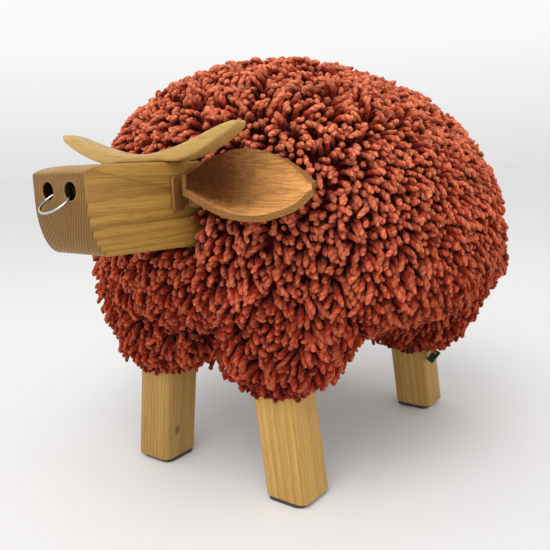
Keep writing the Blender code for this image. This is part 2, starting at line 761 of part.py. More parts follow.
def ear_point(side, along, up):
    """A point on the hollow face of an ear. along runs 0 to 1, up runs -1 to 1."""
    outward = Vector((side * math.cos(EAR_SWEEP), math.sin(EAR_SWEEP), 0))
    root = Vector((side * (HEAD_HALF + GAP + TAB_THICK), EAR_BASE_Y, EAR_BASE_Z))
    height = EAR_HALF_HEIGHT * between(EAR_HEIGHT_SHARES, along)
    angle = EAR_LIP_ANGLE + (EAR_TOP_ANGLE - EAR_LIP_ANGLE) * (up + 1) / 2
    whole = math.cos(EAR_LIP_ANGLE) - math.cos(EAR_TOP_ANGLE)
    climb = (math.cos(EAR_LIP_ANGLE) - math.cos(angle)) / whole
    whole_depth = (math.sin(EAR_TOP_ANGLE) - math.sin(EAR_LIP_ANGLE)) / whole
    depth = 2 * height * ((math.sin(angle) - math.sin(EAR_LIP_ANGLE)) / whole - EAR_LIP_SHARE * whole_depth)
    depth -= EAR_BASE_CURL * max(0, 1 - along / EAR_BASE_CURL_SHARE) ** 2
    rise = (2 * climb - 1) * height - EAR_TIP_DROP * along + 4 * EAR_ARCH * along * (1 - along)
    return root + outward * (along * EAR_LENGTH) + ear_back(side) * depth + Vector((0, 0, rise))


def ear_mesh(name, side, room=False):
    """A leaf with its hollow towards the front, or the room that it needs in the cover."""
    grow = EAR_ROOM_GAP if room else 0
    rows = []
    for along_step in range(EAR_LENGTH_STEPS + 1):
        along = along_step / EAR_LENGTH_STEPS
        row = []
        for step in range(EAR_HEIGHT_STEPS + 1):
            up = 2 * step / EAR_HEIGHT_STEPS - 1
            row.append(ear_point(side, along, up) + Vector((0, 0, 2 * up * grow)))
        rows.append(row)
    inner = []
    outer = []
    for i, row in enumerate(rows):
        for j, point in enumerate(row):
            ahead = rows[min(i + 1, EAR_LENGTH_STEPS)][j] - rows[max(i - 1, 0)][j]
            above = row[min(j + 1, EAR_HEIGHT_STEPS)] - row[max(j - 1, 0)]
            normal = side * above.cross(ahead)
            normal.normalize()
            outer.append(point + normal * (EAR_THICK + grow))
            inner.append(outer[-1] - ear_back(side) * EAR_ROOM_AHEAD if room else point)
    width = EAR_HEIGHT_STEPS + 1
    count = len(inner)
    faces = []
    for i in range(EAR_LENGTH_STEPS):
        for j in range(EAR_HEIGHT_STEPS):
            a = i * width + j
            faces.append((a, a + 1, a + width + 1, a + width))
            faces.append((count + a, count + a + width, count + a + width + 1, count + a + 1))
    rim = list(range(width))
    rim += [i * width + EAR_HEIGHT_STEPS for i in range(1, EAR_LENGTH_STEPS + 1)]
    rim += [EAR_LENGTH_STEPS * width + j for j in range(EAR_HEIGHT_STEPS - 1, -1, -1)]
    rim += [i * width for i in range(EAR_LENGTH_STEPS - 1, 0, -1)]
    for step, a in enumerate(rim):
        b = rim[(step + 1) % len(rim)]
        faces.append((a, b, count + b, count + a))
    return mesh_from(name, inner + outer, faces)


def ear_screws():
    """One screw through each ear's stem into the side of the head."""
    y = EAR_BASE_Y + EAR_STEM_DEPTH / 2 + EAR_THICK
    z = (EAR_STEM_LOW + EAR_STEM_HIGH) / 2
    places = []
    for label, side in SIDES:
        turn = Matrix.Rotation(side * math.pi / 2, 4, "Y")
        x = side * (HEAD_HALF + EAR_STEM_REACH)
        places.append(("ear_screw_" + label, Matrix.Translation((x, y, z)) @ turn))
    profile = (
        (EAR_SCREW_RADIUS, -EAR_SCREW_LENGTH),
        (EAR_SCREW_RADIUS, GAP),
        (EAR_SCREW_HEAD_RADIUS, GAP),
        (EAR_SCREW_HEAD_RADIUS, GAP + EAR_SCREW_HEAD_THICK),
    )
    bore = (
        (EAR_SCREW_RADIUS + GAP, -EAR_SCREW_LENGTH - GAP),
        (EAR_SCREW_RADIUS + GAP, 0),
        (EAR_SCREW_HEAD_RADIUS + GAP, 0),
        (EAR_SCREW_HEAD_RADIUS + GAP, GAP + EAR_SCREW_HEAD_THICK + GAP),
    )
    return fasten(places, profile, bore, ZINC)


def side_box(name, side, xs, ys, zs):
    """A box on one side of the centre plane: xs holds its nearest and furthest distance from it."""
    low_x, high_x = sorted((side * xs[0], side * xs[1]))
    return box(name, (low_x, ys[0], zs[0]), (high_x, ys[1], zs[1]))


def ears(screw_bores, head_room):
    """Both ears with their tabs. Returns the room that they need in the cover."""
    stem_front = EAR_BASE_Y - EAR_STEM_AHEAD
    stem_rear = EAR_BASE_Y + EAR_STEM_DEPTH + EAR_THICK
    stem_far = HEAD_HALF + EAR_STEM_REACH
    tab_rear = EAR_BASE_Y - EAR_STEM_DEPTH / 4 - GAP
    rooms = []
    for label, side in SIDES:
        name = "ear_" + label
        ear = add_object(name, ear_mesh(name, side), finish=LEATHER)
        stem_ys = (stem_front, stem_rear)
        stem_zs = (EAR_STEM_LOW, EAR_STEM_HIGH)
        stem = side_box(name + "_stem", side, (HEAD_HALF - OVERRUN, stem_far), stem_ys, stem_zs)
        boolean(ear, add_object(name + "_stem", stem), "UNION")
        cut(ear, head_room, screw_bores)

        tab_xs = (HEAD_HALF + GAP, HEAD_HALF + GAP + TAB_THICK)
        name = "ear_tab_" + label
        tab = side_box(name, side, tab_xs, (tab_rear - TAB_WIDTH, tab_rear), (TAB_TOP - TAB_HEIGHT, TAB_TOP))
        soften(add_object(name, tab, finish=LEATHER), TAB_EDGE)

        room_xs = (HEAD_HALF, stem_far + EAR_SCREW_HEAD_THICK + EAR_ROOM_GAP)
        room_ys = (stem_front - EAR_ROOM_AHEAD, stem_rear + EAR_ROOM_GAP)
        room_zs = (TAB_TOP - TAB_HEIGHT - EAR_ROOM_GAP, TAB_TOP + EAR_ROOM_GAP)
        name = "ear_stem_room_" + label
        rooms.append(add_object(name, side_box(name, side, room_xs, room_ys, room_zs)))
        name = "ear_room_" + label
        rooms.append(add_object(name, ear_mesh(name, side, room=True)))
    return rooms


def dome_point(angle, level, inset):
    """A point of the dome. Level 1 is the crown and 0 the widest ring; below it the level is negative."""
    power = FRONT_PLAN_POWER if math.sin(angle) < 0 else REAR_PLAN_POWER
    across = math.copysign(abs(math.cos(angle)) ** (2 / power), math.cos(angle))
    ahead = math.copysign(abs(math.sin(angle)) ** (2 / power), math.sin(angle))
    reach = COVER_WIDEST_Y - COVER_FRONT_Y if ahead < 0 else COVER_REAR_Y - COVER_WIDEST_Y
    if level >= 0:
        end_power = FRONT_PROFILE_POWER if ahead < 0 else REAR_PROFILE_POWER
        fullness = SIDE_PROFILE_POWER + (end_power - SIDE_PROFILE_POWER) * abs(math.sin(angle))
        out = (1 - level**fullness) ** (1 / fullness)
        z = COVER_WIDEST_Z + (COVER_CROWN_Z - inset - COVER_WIDEST_Z) * level
    else:
        out = between((1.0,) + BELLY_OUT_SHARES, -level)
        z = COVER_WIDEST_Z + (COVER_BELLY_Z + inset - COVER_WIDEST_Z) * between((0.0,) + BELLY_DOWN_SHARES, -level)
    x = (COVER_HALF_WIDTH - inset) * out * across
    y = COVER_WIDEST_Y + (reach - inset) * out * ahead
    return (x, y, z)


def dome_levels():
    levels = [-step / len(BELLY_OUT_SHARES) for step in range(len(BELLY_OUT_SHARES), 0, -1)]
    for step in range(COVER_UP_STEPS + 1):
        levels.append(math.sin(math.pi / 2 * step / (COVER_UP_STEPS + COVER_CROWN_FLAT_SHARE)))
    return levels


def dome_mesh(name, inset):
    """The body's outer shape, or the same shape drawn in by an inset all round."""
    rings = []
    for level in dome_levels():
        ring = []
        for step in range(COVER_AROUND_STEPS):
            angle = 2 * math.pi * step / COVER_AROUND_STEPS
            ring.append(dome_point(angle, level, inset))
        rings.append(ring)
    return halve_quads(loft(name, rings))


def frame_room(name, grow, low, high):
    """The space of the frame as one block with slanted sides, drawn down past the belly."""
    outline = [
        (-board_outer_x(low) - grow, low),
        (board_outer_x(low) + grow, low),
        (board_outer_x(high) + grow, high),
        (-board_outer_x(high) - grow, high),
    ]
    return prism_along_y(name, outline, FRONT_BOARD_FRONT_Y - grow, LEG_BACK_Y + grow)


def frame_rooms():
    """The space of the side boards and legs, open to below the belly, and the space of the front board."""
    low = COVER_BELLY_Z - OVERRUN
    room = frame_room("frame_room", GAP, low, TOP_BOARD_HIGH)
    outline = [
        (-board_outer_x(low) - GAP, low),
        (board_outer_x(low) + GAP, low),
        (board_outer_x(LEG_TOP) + GAP, LEG_TOP),
        (FRONT_BOARD_CREST / 2 + GAP, FRONT_BOARD_TOP + GAP),
        (-FRONT_BOARD_CREST / 2 - GAP, FRONT_BOARD_TOP + GAP),
        (-board_outer_x(LEG_TOP) - GAP, LEG_TOP),
    ]
    front = prism_along_y("front_board_room", outline, FRONT_BOARD_FRONT_Y - GAP, FRONT_BOARD_REAR_Y + GAP)
    return add_object("frame_room", room), add_object("front_board_room", front)


def cover_body(rooms):
    cover = add_object("cover_body", dome_mesh("cover_body", 0), finish=PILE)
    hollow = add_object("cover_hollow", dome_mesh("cover_hollow", PILE_THICK))
    cut(cover, hollow, *rooms)


def superellipse(half_x, half_y):
    outline = []
    for step in range(SLEEVE_AROUND_STEPS):
        angle = 2 * math.pi * step / SLEEVE_AROUND_STEPS
        x = half_x * math.copysign(abs(math.cos(angle)) ** (2 / SLEEVE_POWER), math.cos(angle))
        y = half_y * math.copysign(abs(math.sin(angle)) ** (2 / SLEEVE_POWER), math.sin(angle))
        outline.append((x, y))
    return outline


FRONT_SLEEVE = {
    "z": (FRONT_HEM_Z, SHOULDER_Z),
    "half_x": (FRONT_HEM_HALF_X, FRONT_SHOULDER_HALF_X),
    "half_y": (FRONT_HEM_HALF_Y, FRONT_SHOULDER_HALF_Y),
    "x": (FRONT_HEM_X, FRONT_SHOULDER_X),
    "y": (LEG_FOOT_Y, FRONT_SHOULDER_Y),
}
REAR_SLEEVE = {
    "z": (REAR_HEM_Z, SHOULDER_Z),
    "half_x": (REAR_HEM_HALF_X, REAR_SHOULDER_HALF_X),
    "half_y": (REAR_HEM_HALF_Y, REAR_SHOULDER_HALF_Y),
    "x": (REAR_HEM_X, REAR_SHOULDER_X),
    "y": (LEG_FOOT_Y, REAR_SHOULDER_Y),
}


def sleeve_mesh(name, side, end):
    sizes = FRONT_SLEEVE if end < 0 else REAR_SLEEVE

    def part_way(size, share):
        return sizes[size][0] + (sizes[size][1] - sizes[size][0]) * share

    rings = []
    for up, swell, shift in zip(SLEEVE_UP_SHARES, SLEEVE_SWELL_SHARES, SLEEVE_SHIFT_SHARES):
        middle_x = side * part_way("x", shift)
        middle_y = end * part_way("y", shift)
        outline = superellipse(part_way("half_x", swell), part_way("half_y", swell))
        rings.append([(middle_x + x, middle_y + y, part_way("z", up)) for x, y in outline])
    return halve_quads(loft(name, rings))


def sleeves():
    dome_room = add_object("cover_outline", dome_mesh("cover_outline", -GAP))
    half = board_outer_x(FRAME_BOTTOM) + GAP
    low = (-half, FRONT_BOARD_FRONT_Y - GAP, FRAME_BOTTOM - DUST_THICK - 2 * GAP)
    high = (half, LEG_BACK_Y + GAP, COVER_CROWN_Z)
    above = add_object("above_dust_cover", box("above_dust_cover", low, high))
    middle_low = (-GAP, COVER_FRONT_Y, REAR_HEM_Z - OVERRUN)
    middle_high = (GAP, COVER_REAR_Y, COVER_CROWN_Z)
    middle = add_object("middle_plane", box("middle_plane", middle_low, middle_high))
    for corner, side, end in CORNERS:
        name = "sleeve_" + corner
        sleeve = add_object(name, sleeve_mesh(name, side, end), finish=PILE)
        room = leg_mesh(name + "_leg_room", side, grow=GAP, low=0, high=LEG_TOP)
        leg_room = add_object(name + "_leg_room", room, foot_location(side, end))
        cut(sleeve, dome_room, above, leg_room, middle)
        if corner == "rear_left":
            cut(sleeve, add_object("side_tab_room", side_tab_mesh("side_tab_room", GAP)))


def foam(rooms):
    """Five blocks of foam that fill the cover round the frame."""
    front_y = FRONT_BOARD_FRONT_Y
    rear_y = LEG_BACK_Y
    wide = COVER_HALF_WIDTH
    low_z = COVER_BELLY_Z
    high_z = COVER_CROWN_Z
    seat_z = TOP_BOARD_HIGH + GAP
    blocks = {
        "foam_top": ((-wide, front_y, seat_z), (wide, rear_y, high_z)),
        "foam_left": ((GAP, front_y, low_z), (wide, rear_y, seat_z - FOAM_GAP)),
        "foam_right": ((-wide, front_y, low_z), (-GAP, rear_y, seat_z - FOAM_GAP)),
        "foam_chest": ((-wide, COVER_FRONT_Y, low_z), (wide, front_y - FOAM_GAP, HEAD_BOTTOM)),
        "foam_rump": ((-wide, rear_y + FOAM_GAP, low_z), (wide, COVER_REAR_Y, high_z)),
    }
    for name, (low, high) in blocks.items():
        piece = add_object(name, dome_mesh(name, PILE_THICK + FOAM_GAP), finish=FOAM)
        limit = add_object(name + "_block", box(name + "_block", low, high))
        boolean(piece, limit, "INTERSECT")
        cut(piece, *rooms)


def dust_cover():
    """A cloth sheet under the frame, with a notch at each leg."""
    top = FRAME_BOTTOM - GAP
    half = board_outer_x(FRAME_BOTTOM) - GAP
    low = (-half, FRONT_BOARD_FRONT_Y, top - DUST_THICK)
    high = (half, LEG_BACK_Y, top)
    sheet = add_object("dust_cover", box("dust_cover", low, high), finish=CALICO)
    for corner, side, end in CORNERS:
        name = "dust_notch_" + corner
        room = leg_mesh(name, side, grow=DUST_LEG_GAP, low=0, high=LEG_TOP)
        cut(sheet, add_object(name, room, foot_location(side, end)))


def side_tab_mesh(name, grow=0.0):
    half = SIDE_TAB_SIDE / 2 + grow
    thick = SIDE_TAB_THICK / 2 + grow
    turn = Matrix.Rotation(SIDE_TAB_TURN, 4, "Z") @ Matrix.Rotation(SIDE_TAB_LEAN, 4, "Y")
    place = Matrix.Translation((SIDE_TAB_X, SIDE_TAB_Y, SIDE_TAB_Z))
    return moved(box(name, (-half, -thick, -half), (half, thick, half)), place @ turn)


def head_room_cutter():
    low = (-HEAD_HALF - GAP, HEAD_FRONT_Y, HEAD_BOTTOM - GAP)
    high = (HEAD_HALF + GAP, HEAD_REAR_Y + GAP + OVERRUN, HEAD_TOP + GAP)
    return add_object("head_room", box("head_room", low, high))


def build():
    clear_scene()
    add_empty("footstool", (0, FEET_MIDDLE_Y, 0))
    leg_bores, leg_rooms = leg_screws()
    legs_and_pads(leg_bores)
    screw_bores = frame_screws()
    neck_bores, neck_rooms = neck_bolts()
    frame_boards(leg_bores, screw_bores, neck_bores)
    dust_cover()
    dowel_bores = horn_dowels()
    ear_bores = ear_screws()
    head(neck_bores, dowel_bores, ear_bores)
    nose_ring()
    horns(dowel_bores)
    head_room = head_room_cutter()
    ear_rooms = ears(ear_bores, head_room)
    rooms = (*frame_rooms(), leg_rooms, head_room, *ear_rooms)
    cover_body(rooms)
    sleeves()
    foam((*rooms, neck_rooms))
    add_object("side_tab", side_tab_mesh("side_tab"), finish=GREEN_CLOTH)


build()
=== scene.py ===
import json
import math

import bmesh
import bpy
import numpy as np
from bpy.props import FloatProperty, FloatVectorProperty, IntProperty, PointerProperty
from mathutils import Matrix, Vector, noise as smooth_noise
from mathutils.bvhtree import BVHTree


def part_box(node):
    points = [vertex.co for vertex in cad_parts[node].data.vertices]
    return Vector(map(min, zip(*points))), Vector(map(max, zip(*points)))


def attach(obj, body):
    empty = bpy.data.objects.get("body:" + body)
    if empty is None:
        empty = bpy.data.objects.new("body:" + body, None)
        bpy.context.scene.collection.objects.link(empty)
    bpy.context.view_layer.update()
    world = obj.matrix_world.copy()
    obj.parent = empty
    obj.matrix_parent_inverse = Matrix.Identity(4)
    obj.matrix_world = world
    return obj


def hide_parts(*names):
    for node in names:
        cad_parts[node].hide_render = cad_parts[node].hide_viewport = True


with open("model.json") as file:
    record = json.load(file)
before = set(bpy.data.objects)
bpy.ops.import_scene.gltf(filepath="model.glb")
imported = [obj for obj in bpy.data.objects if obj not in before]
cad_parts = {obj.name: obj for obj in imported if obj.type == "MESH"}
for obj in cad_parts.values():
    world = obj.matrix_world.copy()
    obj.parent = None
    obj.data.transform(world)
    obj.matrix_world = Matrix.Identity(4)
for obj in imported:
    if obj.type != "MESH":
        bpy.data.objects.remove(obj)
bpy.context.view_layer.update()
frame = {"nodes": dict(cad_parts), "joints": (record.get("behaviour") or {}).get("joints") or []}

bl_info = {
    "name": "Loop Pile Footstool",
    "version": (1, 0, 0),
    "blender": (4, 5, 0),
    "location": "View3D > Sidebar > Footstool",
    "description": "Dresses a cow footstool: pile cover, oak head, horns and legs, leather ears, nose ring",
    "category": "Object",
}

# The animal faces -Y, its left side is +X, and the floor is at Z = 0.
CORNERS = ("front_left", "front_right", "rear_left", "rear_right")
SIDES = (("left", 1), ("right", -1))
LEGS = tuple("leg_" + corner for corner in CORNERS)
SLEEVES = tuple("sleeve_" + corner for corner in CORNERS)
COVER_NODES = ("cover_body",) + SLEEVES
BOARDS = ("side_board_left", "side_board_right", "front_board", "rear_board", "top_board")
FOAMS = ("foam_top", "foam_left", "foam_right", "foam_chest", "foam_rump")
EAR_TABS = ("ear_tab_left", "ear_tab_right")

# Clearance between touching pieces
GAP = 0.0003
SMOOTH_ANGLE = math.radians(38)
SOFT_ANGLE = math.radians(50)
ROUND_ANGLE = math.radians(60)

HINGE = Vector(frame["joints"][0]["pos_m"])
HEAD_LOW, HEAD_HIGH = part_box("head_block")
HEAD_HALF = HEAD_HIGH.x
HORN_LOW, HORN_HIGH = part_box("horns")
RING_LOW, RING_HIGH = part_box("nose_ring")
EAR_ROOT_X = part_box("ear_tab_left")[1].x
DUST_LOW, DUST_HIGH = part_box("dust_cover")

COLOUR = {"subtype": "COLOR", "min": 0, "max": 1}


class CoverSettings(bpy.types.PropertyGroup):
    yarn: FloatVectorProperty(
        name="Yarn", description="Colour of the yarn in the light", default=(0.90, 0.268, 0.128), **COLOUR)
    # The middle and deep colours are painted shade: the yarn darkens towards the foot of the loops.
    yarn_middle: FloatVectorProperty(
        name="Middle yarn", description="Colour of the yarn halfway down the loops",
        default=(0.34, 0.026, 0.006), **COLOUR)
    yarn_deep: FloatVectorProperty(
        name="Deep yarn", description="Colour of the yarn at the foot of the loops",
        default=(0.110, 0.001, 0.0004), **COLOUR)
    loop_width: FloatProperty(
        name="Loop width", description="Width of one twisted loop", unit="LENGTH", default=0.0045)
    loop_spacing: FloatProperty(
        name="Loop spacing", description="Least distance between two loops", unit="LENGTH", default=0.0049)
    pile_depth: FloatProperty(
        name="Pile depth", description="From the backing cloth to the tips", unit="LENGTH", default=0.018)
    twist_pitch: FloatProperty(
        name="Twist pitch", description="Length in which the plies turn once", unit="LENGTH", default=0.0105)
    seed: IntProperty(name="Seed", description="Start of the random draws", default=7)


class WoodSettings(bpy.types.PropertyGroup):
    oak: FloatVectorProperty(
        name="Oak", description="Early wood of the legs", default=(0.51, 0.305, 0.080), **COLOUR)
    oak_late: FloatVectorProperty(
        name="Late wood", description="Darker rings of the legs", default=(0.29, 0.140, 0.024), **COLOUR)
    head: FloatVectorProperty(
        name="Head oak", description="Early wood of the head", default=(0.43, 0.236, 0.046), **COLOUR)
    head_late: FloatVectorProperty(
        name="Head late wood", description="Darker rings of the head", default=(0.160, 0.066, 0.008),
        **COLOUR)
    horn: FloatVectorProperty(
        name="Horn oak", description="Early wood of the horns", default=(0.51, 0.325, 0.098), **COLOUR)
    horn_late: FloatVectorProperty(
        name="Horn late wood", description="Darker rings of the horns", default=(0.30, 0.160, 0.036),
        **COLOUR)
    leg_edge: FloatProperty(
        name="Leg edge", description="Radius of a leg's long edges", unit="LENGTH", default=0.008)


class LeatherSettings(bpy.types.PropertyGroup):
    tan: FloatVectorProperty(
        name="Leather", description="Light tone of the ears' leather", default=(0.70, 0.335, 0.107),
        **COLOUR)
    # The dark leather colour is also the painted shade in the ears' hollows.
    brown: FloatVectorProperty(
        name="Dark leather", description="Dark streaks of the ears' leather", default=(0.052, 0.010, 0.0016),
        **COLOUR)
    thickness: FloatProperty(
        name="Thickness", description="Thickness of the ears' leather", unit="LENGTH", default=0.005)


class StageSettings(bpy.types.PropertyGroup):
    camera_place: FloatVectorProperty(
        name="Camera place", description="Where the camera stands", subtype="TRANSLATION", unit="LENGTH",
        default=(0.39224, -0.51979, 0.29896))
    azimuth: FloatProperty(
        name="Azimuth", description="How far round from the front the camera looks", subtype="ANGLE",
        default=math.radians(36.688))
    pitch: FloatProperty(
        name="Pitch", description="How far down the camera looks", subtype="ANGLE",
        default=math.radians(9.9585))
    roll: FloatProperty(
        name="Roll", description="How far the camera leans", subtype="ANGLE", default=math.radians(-2.0444))
    lens: FloatProperty(name="Lens", description="Focal length in millimetres", default=41.414)
    floor: FloatVectorProperty(
        name="Floor", description="Colour of the floor", default=(0.78, 0.78, 0.77), **COLOUR)
    backdrop: FloatVectorProperty(
        name="Backdrop", description="Colour behind the object", default=(0.95, 0.955, 0.95), **COLOUR)
    backdrop_low: FloatProperty(
        name="Low backdrop", description="Brightness at the horizon, as a share of that above", default=0.80)
    key_light: FloatProperty(name="Key light", description="Power of the large lamp in watts", default=27.0)
    sky_high: FloatProperty(name="Sky above", description="Strength of the light from above", default=0.60)
    sky_low: FloatProperty(name="Sky low", description="Strength of the light from the sides", default=1.60)


class Wire:
    """The output of a shader node. Maths with it adds nodes to its tree."""

    def __init__(self, tree, socket):
        self.tree = tree
        self.socket = socket

    def maths(self, operation, *values):
        number = self.socket.type == "VALUE"
        output = "Value" if number or operation == "LENGTH" else "Vector"
        inputs = dict(enumerate(values))
        return add_node(self.tree, "Math" if number else "VectorMath", inputs, output, operation=operation)

    def __add__(self, other):
        return self.maths("ADD", self, other)

    def __sub__(self, other):
        return self.maths("SUBTRACT", self, other)

    def __rsub__(self, other):
        return self.maths("SUBTRACT", other, self)

    def __mul__(self, other):
        return self.maths("MULTIPLY", self, other)

    def part(self, axis):
        return add_node(self.tree, "SeparateXYZ", {0: self}, axis)

    def span(self, low, high, to_low=0.0, to_high=1.0):
        """Spreads the values from low to high over to_low to to_high, and keeps them between these."""
        inputs = {"Value": self, "From Min": low, "From Max": high, "To Min": to_low, "To Max": to_high}
        return add_node(self.tree, "MapRange", inputs, "Result")

    def noise(self, scale, detail=2.0, roughness=0.5, output="Fac"):
        """Noise over the places that this wire holds, with one scale or one for each axis."""
        inputs = {"Vector": self * scale, "Scale": 1.0, "Detail": detail, "Roughness": roughness}
        return add_node(self.tree, "TexNoise", inputs, output)

    def mix(self, first, second):
        """A blend of two colours. This wire is the share of the second one."""
        return add_node(self.tree, "Mix", {0: self, 6: first, 7: second}, 2, data_type="RGBA")

    def bump(self, distance, strength=0.6):
        inputs = {"Height": self, "Distance": distance, "Strength": strength}
        return add_node(self.tree, "Bump", inputs, "Normal")


def add_node(tree, kind, inputs, output=None, **settings):
    """Adds a shader node and gives its output. An input takes a wire, a number, a vector or a colour."""
    node = tree.nodes.new("ShaderNode" + kind)
    for name, value in settings.items():
        setattr(node, name, value)
    for name, value in inputs.items():
        socket = node.inputs[name]
        if isinstance(value, Wire):
            tree.links.new(value.socket, socket)
        elif socket.type == "RGBA":
            socket.default_value = (*value, 1.0)
        elif socket.type == "VECTOR" and isinstance(value, (int, float)):
            socket.default_value = (value, value, value)
        else:
            socket.default_value = value
    return None if output is None else Wire(tree, node.outputs[output])


def attribute(tree, name, output="Fac"):
    return add_node(tree, "Attribute", {}, output, attribute_name=name)


def place_of(tree):
    return add_node(tree, "TexCoord", {}, "Object")


def scaled(colour, share):
    return [channel * share for channel in colour]


def start_material(name):
    material = bpy.data.materials.new(name)
    material.use_nodes = True
    material.node_tree.nodes.clear()
    return material, material.node_tree


def finish_material(material, **inputs):
    """Feeds the Principled shader. Underscores stand for the spaces in its sockets' names."""
    inputs = {name.replace("_", " "): value for name, value in inputs.items()}
    surface = add_node(material.node_tree, "BsdfPrincipled", inputs, "BSDF")
    add_node(material.node_tree, "OutputMaterial", {"Surface": surface})
    return material


def wood_material(name, early, late, ring_gap, ring_share, end_rings, end_tone, roughness=0.5, knot=None,
                  bores=None):
    """Oak as a solid texture: rings round the pith, pores and fibres along the grain."""
    material, tree = start_material(name)
    grain = attribute(tree, "grain_place", "Vector")
    drift = grain.noise((30, 30, 5), output="Color") - 0.5
    bent = grain + drift * (0.0040, 0.0040, 0.0)
    wave = {"Vector": bent, "Scale": math.pi / 10 / ring_gap}
    wave |= {"Distortion": 0.9, "Detail": 2.0, "Detail Scale": 0.4}
    kind = {"wave_type": "RINGS", "rings_direction": "Z", "wave_profile": "SAW"}
    rings = add_node(tree, "TexWave", wave, "Fac", **kind)
    late_part = rings.span(0.35, 0.95)
    fibres = grain.noise((900, 900, 16), 3.0, 0.65)
    streaks = grain.noise((150, 150, 4), 3.0, 0.55)
    pores = grain.noise((1500, 1500, 60), 1.0, 0.4).span(0.62, 0.74)
    end = attribute(tree, "end_grain")

    calm = end.span(0.0, 1.0, 1.0, 0.35)
    share = late_part * end.span(0.0, 1.0, ring_share, end_rings)
    share += fibres.span(0.34, 0.66) * calm * 0.34
    share += streaks.span(0.35, 0.7, -0.12, 0.30) * calm
    dark = scaled(late, 0.35)
    colour = (pores * 0.4).mix(share.mix(early, late), dark)
    colour = end.mix(colour, colour * end_tone) * (attribute(tree, "tone") + 1.0)
    if knot:
        away = (bent - knot) * (1.0, 1.0, 0.7)
        distance = away.maths("LENGTH", away)
        colour = distance.span(0.0024, 0.0055, 0.85, 0.0).mix(colour, dark)
    if bores:
        # Painted shade inside the nostril bores; their rims are paler.
        inside, rim = bore_masks(tree, *bores)
        colour = inside.mix(rim.mix(colour, scaled(early, 0.85)), scaled(late, 0.05))
    relief = fibres * 0.6 + late_part * 0.12 - pores
    shine = fibres.span(0.25, 0.75, roughness - 0.08, roughness + 0.1)
    return finish_material(
        material, Base_Color=colour, Roughness=shine, Normal=relief.bump(0.00025), Specular_IOR_Level=0.3)


def bore_masks(tree, away, level, front, radius):
    """Where two bores along Y take painted shade inside, and the thin rim round their mouths."""
    place = place_of(tree)
    across = place.part("X")
    across = across.maths("ABSOLUTE", across) - away
    above = place.part("Z") - level
    square = across * across + above * above
    distance = square.maths("SQRT", square)
    inside = distance.span(radius + 0.0003, radius + 0.0008, 1.0, 0.0)
    inside *= place.part("Y").span(front - 0.0002, front + 0.0014)
    rim = distance.span(radius + 0.0001, radius + 0.0004) * 0.6
    return inside, rim * distance.span(radius + 0.0007, radius + 0.0012, 1.0, 0.0)


def leather_material(name, light, dark):
    """Split leather with a nap: faint streaks along the ear, painted shade in the hollow, brown on the cut
    edges.
    """
    material, tree = start_material(name)
    grain = attribute(tree, "grain_place", "Vector")
    cut = attribute(tree, "cut_edge")
    streaks = grain.noise((560, 560, 42), 4.0, 0.6)
    nap = grain.noise(1300, 2.0, 0.75)
    share = streaks.span(0.38, 0.62, -0.10, 0.52) + nap.span(0.35, 0.65, -0.16, 0.22)
    share += grain.noise((45, 45, 20)).span(0.3, 0.7, -0.08, 0.08)
    colour = share.mix(light, [0.25 * light[i] + 0.75 * dark[i] for i in range(3)])
    rim = [0.24 * light[i] + 0.30 * dark[i] for i in range(3)]
    colour = (cut * nap.span(0.35, 0.65, 0.65, 1.0)).mix(colour, rim)
    # Painted shade: the hollow attribute darkens the leather towards the dark colour.
    hollow = attribute(tree, "hollow") * nap.span(0.3, 0.7, 0.90, 1.08) * (1.0 - cut)
    relief = nap * 0.9 + streaks
    return finish_material(
        material, Base_Color=hollow.mix(colour, dark), Roughness=0.95, Normal=relief.bump(0.0008, 0.7),
        Specular_IOR_Level=0.03)


def yarn_material(name, lit, middle, deep):
    """Two-ply yarn: a groove winds between the plies, each loop differs a little, and painted shade darkens
    the groove and the foot of the loops while painted light brightens the tips.
    """
    material, tree = start_material(name)
    reach = attribute(tree, "reach")
    strand = attribute(tree, "strand", "Vector")
    place = place_of(tree)
    nap = place.noise(1500, 2.0, 0.7)
    clumps = place.noise(480, 2.0, 0.55)
    turn = (strand.part("X") - strand.part("Y")) * (4 * math.pi)
    groove = turn.maths("COSINE", turn).span(-0.25, -0.95) * clumps.span(0.3, 0.7, 0.75, 1.15)
    # Painted light: the tips and the sides that face out take the lit colour; painted shade: low reach takes
    # the middle and deep colours.
    tip_light = reach.span(0.72, 1.18) * nap.span(0.32, 0.58, 0.25, 1.0)
    colour = tip_light.mix(reach.span(0.20, 0.85).mix(deep, middle), lit)
    # Painted shade in the groove between the plies.
    colour = (groove * 0.42).mix(colour, deep)
    tone = attribute(tree, "tint").span(0.0, 1.0, 0.72, 1.18)
    tone *= nap.span(0.32, 0.68, 0.66, 1.30) * clumps.span(0.3, 0.7, 0.86, 1.12)
    relief = nap + clumps * 0.8 - groove * 1.2
    return finish_material(
        material, Base_Color=colour * tone, Roughness=0.95, Normal=relief.bump(0.0010),
        Specular_IOR_Level=0.12, Sheen_Weight=0.16, Sheen_Roughness=0.45, Sheen_Tint=(1.0, 0.62, 0.45))


def weave_material(name, thread, gap, pitch):
    """Plain weave: two sets of bands that pass over and under each other."""
    material, tree = start_material(name)
    place = attribute(tree, "grain_place", "Vector")
    wave = {"Vector": place * (1.0 / pitch), "Scale": 0.5}
    warp, weft = [add_node(tree, "TexWave", wave, "Fac", bands_direction=axis) for axis in "XY"]
    height = warp * weft + warp.maths("MAXIMUM", warp, weft)
    share = height.span(0.3, 1.4) * place.noise(1800, 2.0, 0.6).span(0.2, 0.8, 0.7, 1.1)
    return finish_material(
        material, Base_Color=share.mix(gap, thread), Roughness=0.9, Normal=height.bump(0.0003, 0.5))


def metal_material(name, colour, roughness):
    """Plated metal with faint handling marks."""
    material, tree = start_material(name)
    marks = place_of(tree).noise(500, 3.0, 0.6)
    tone = marks.span(0.3, 0.7).mix(colour, scaled(colour, 0.88))
    shine = marks.span(0.3, 0.75, roughness * 0.7, roughness * 1.5)
    return finish_material(
        material, Base_Color=tone, Roughness=shine, Normal=marks.bump(0.00002, 0.4), Metallic=1.0)


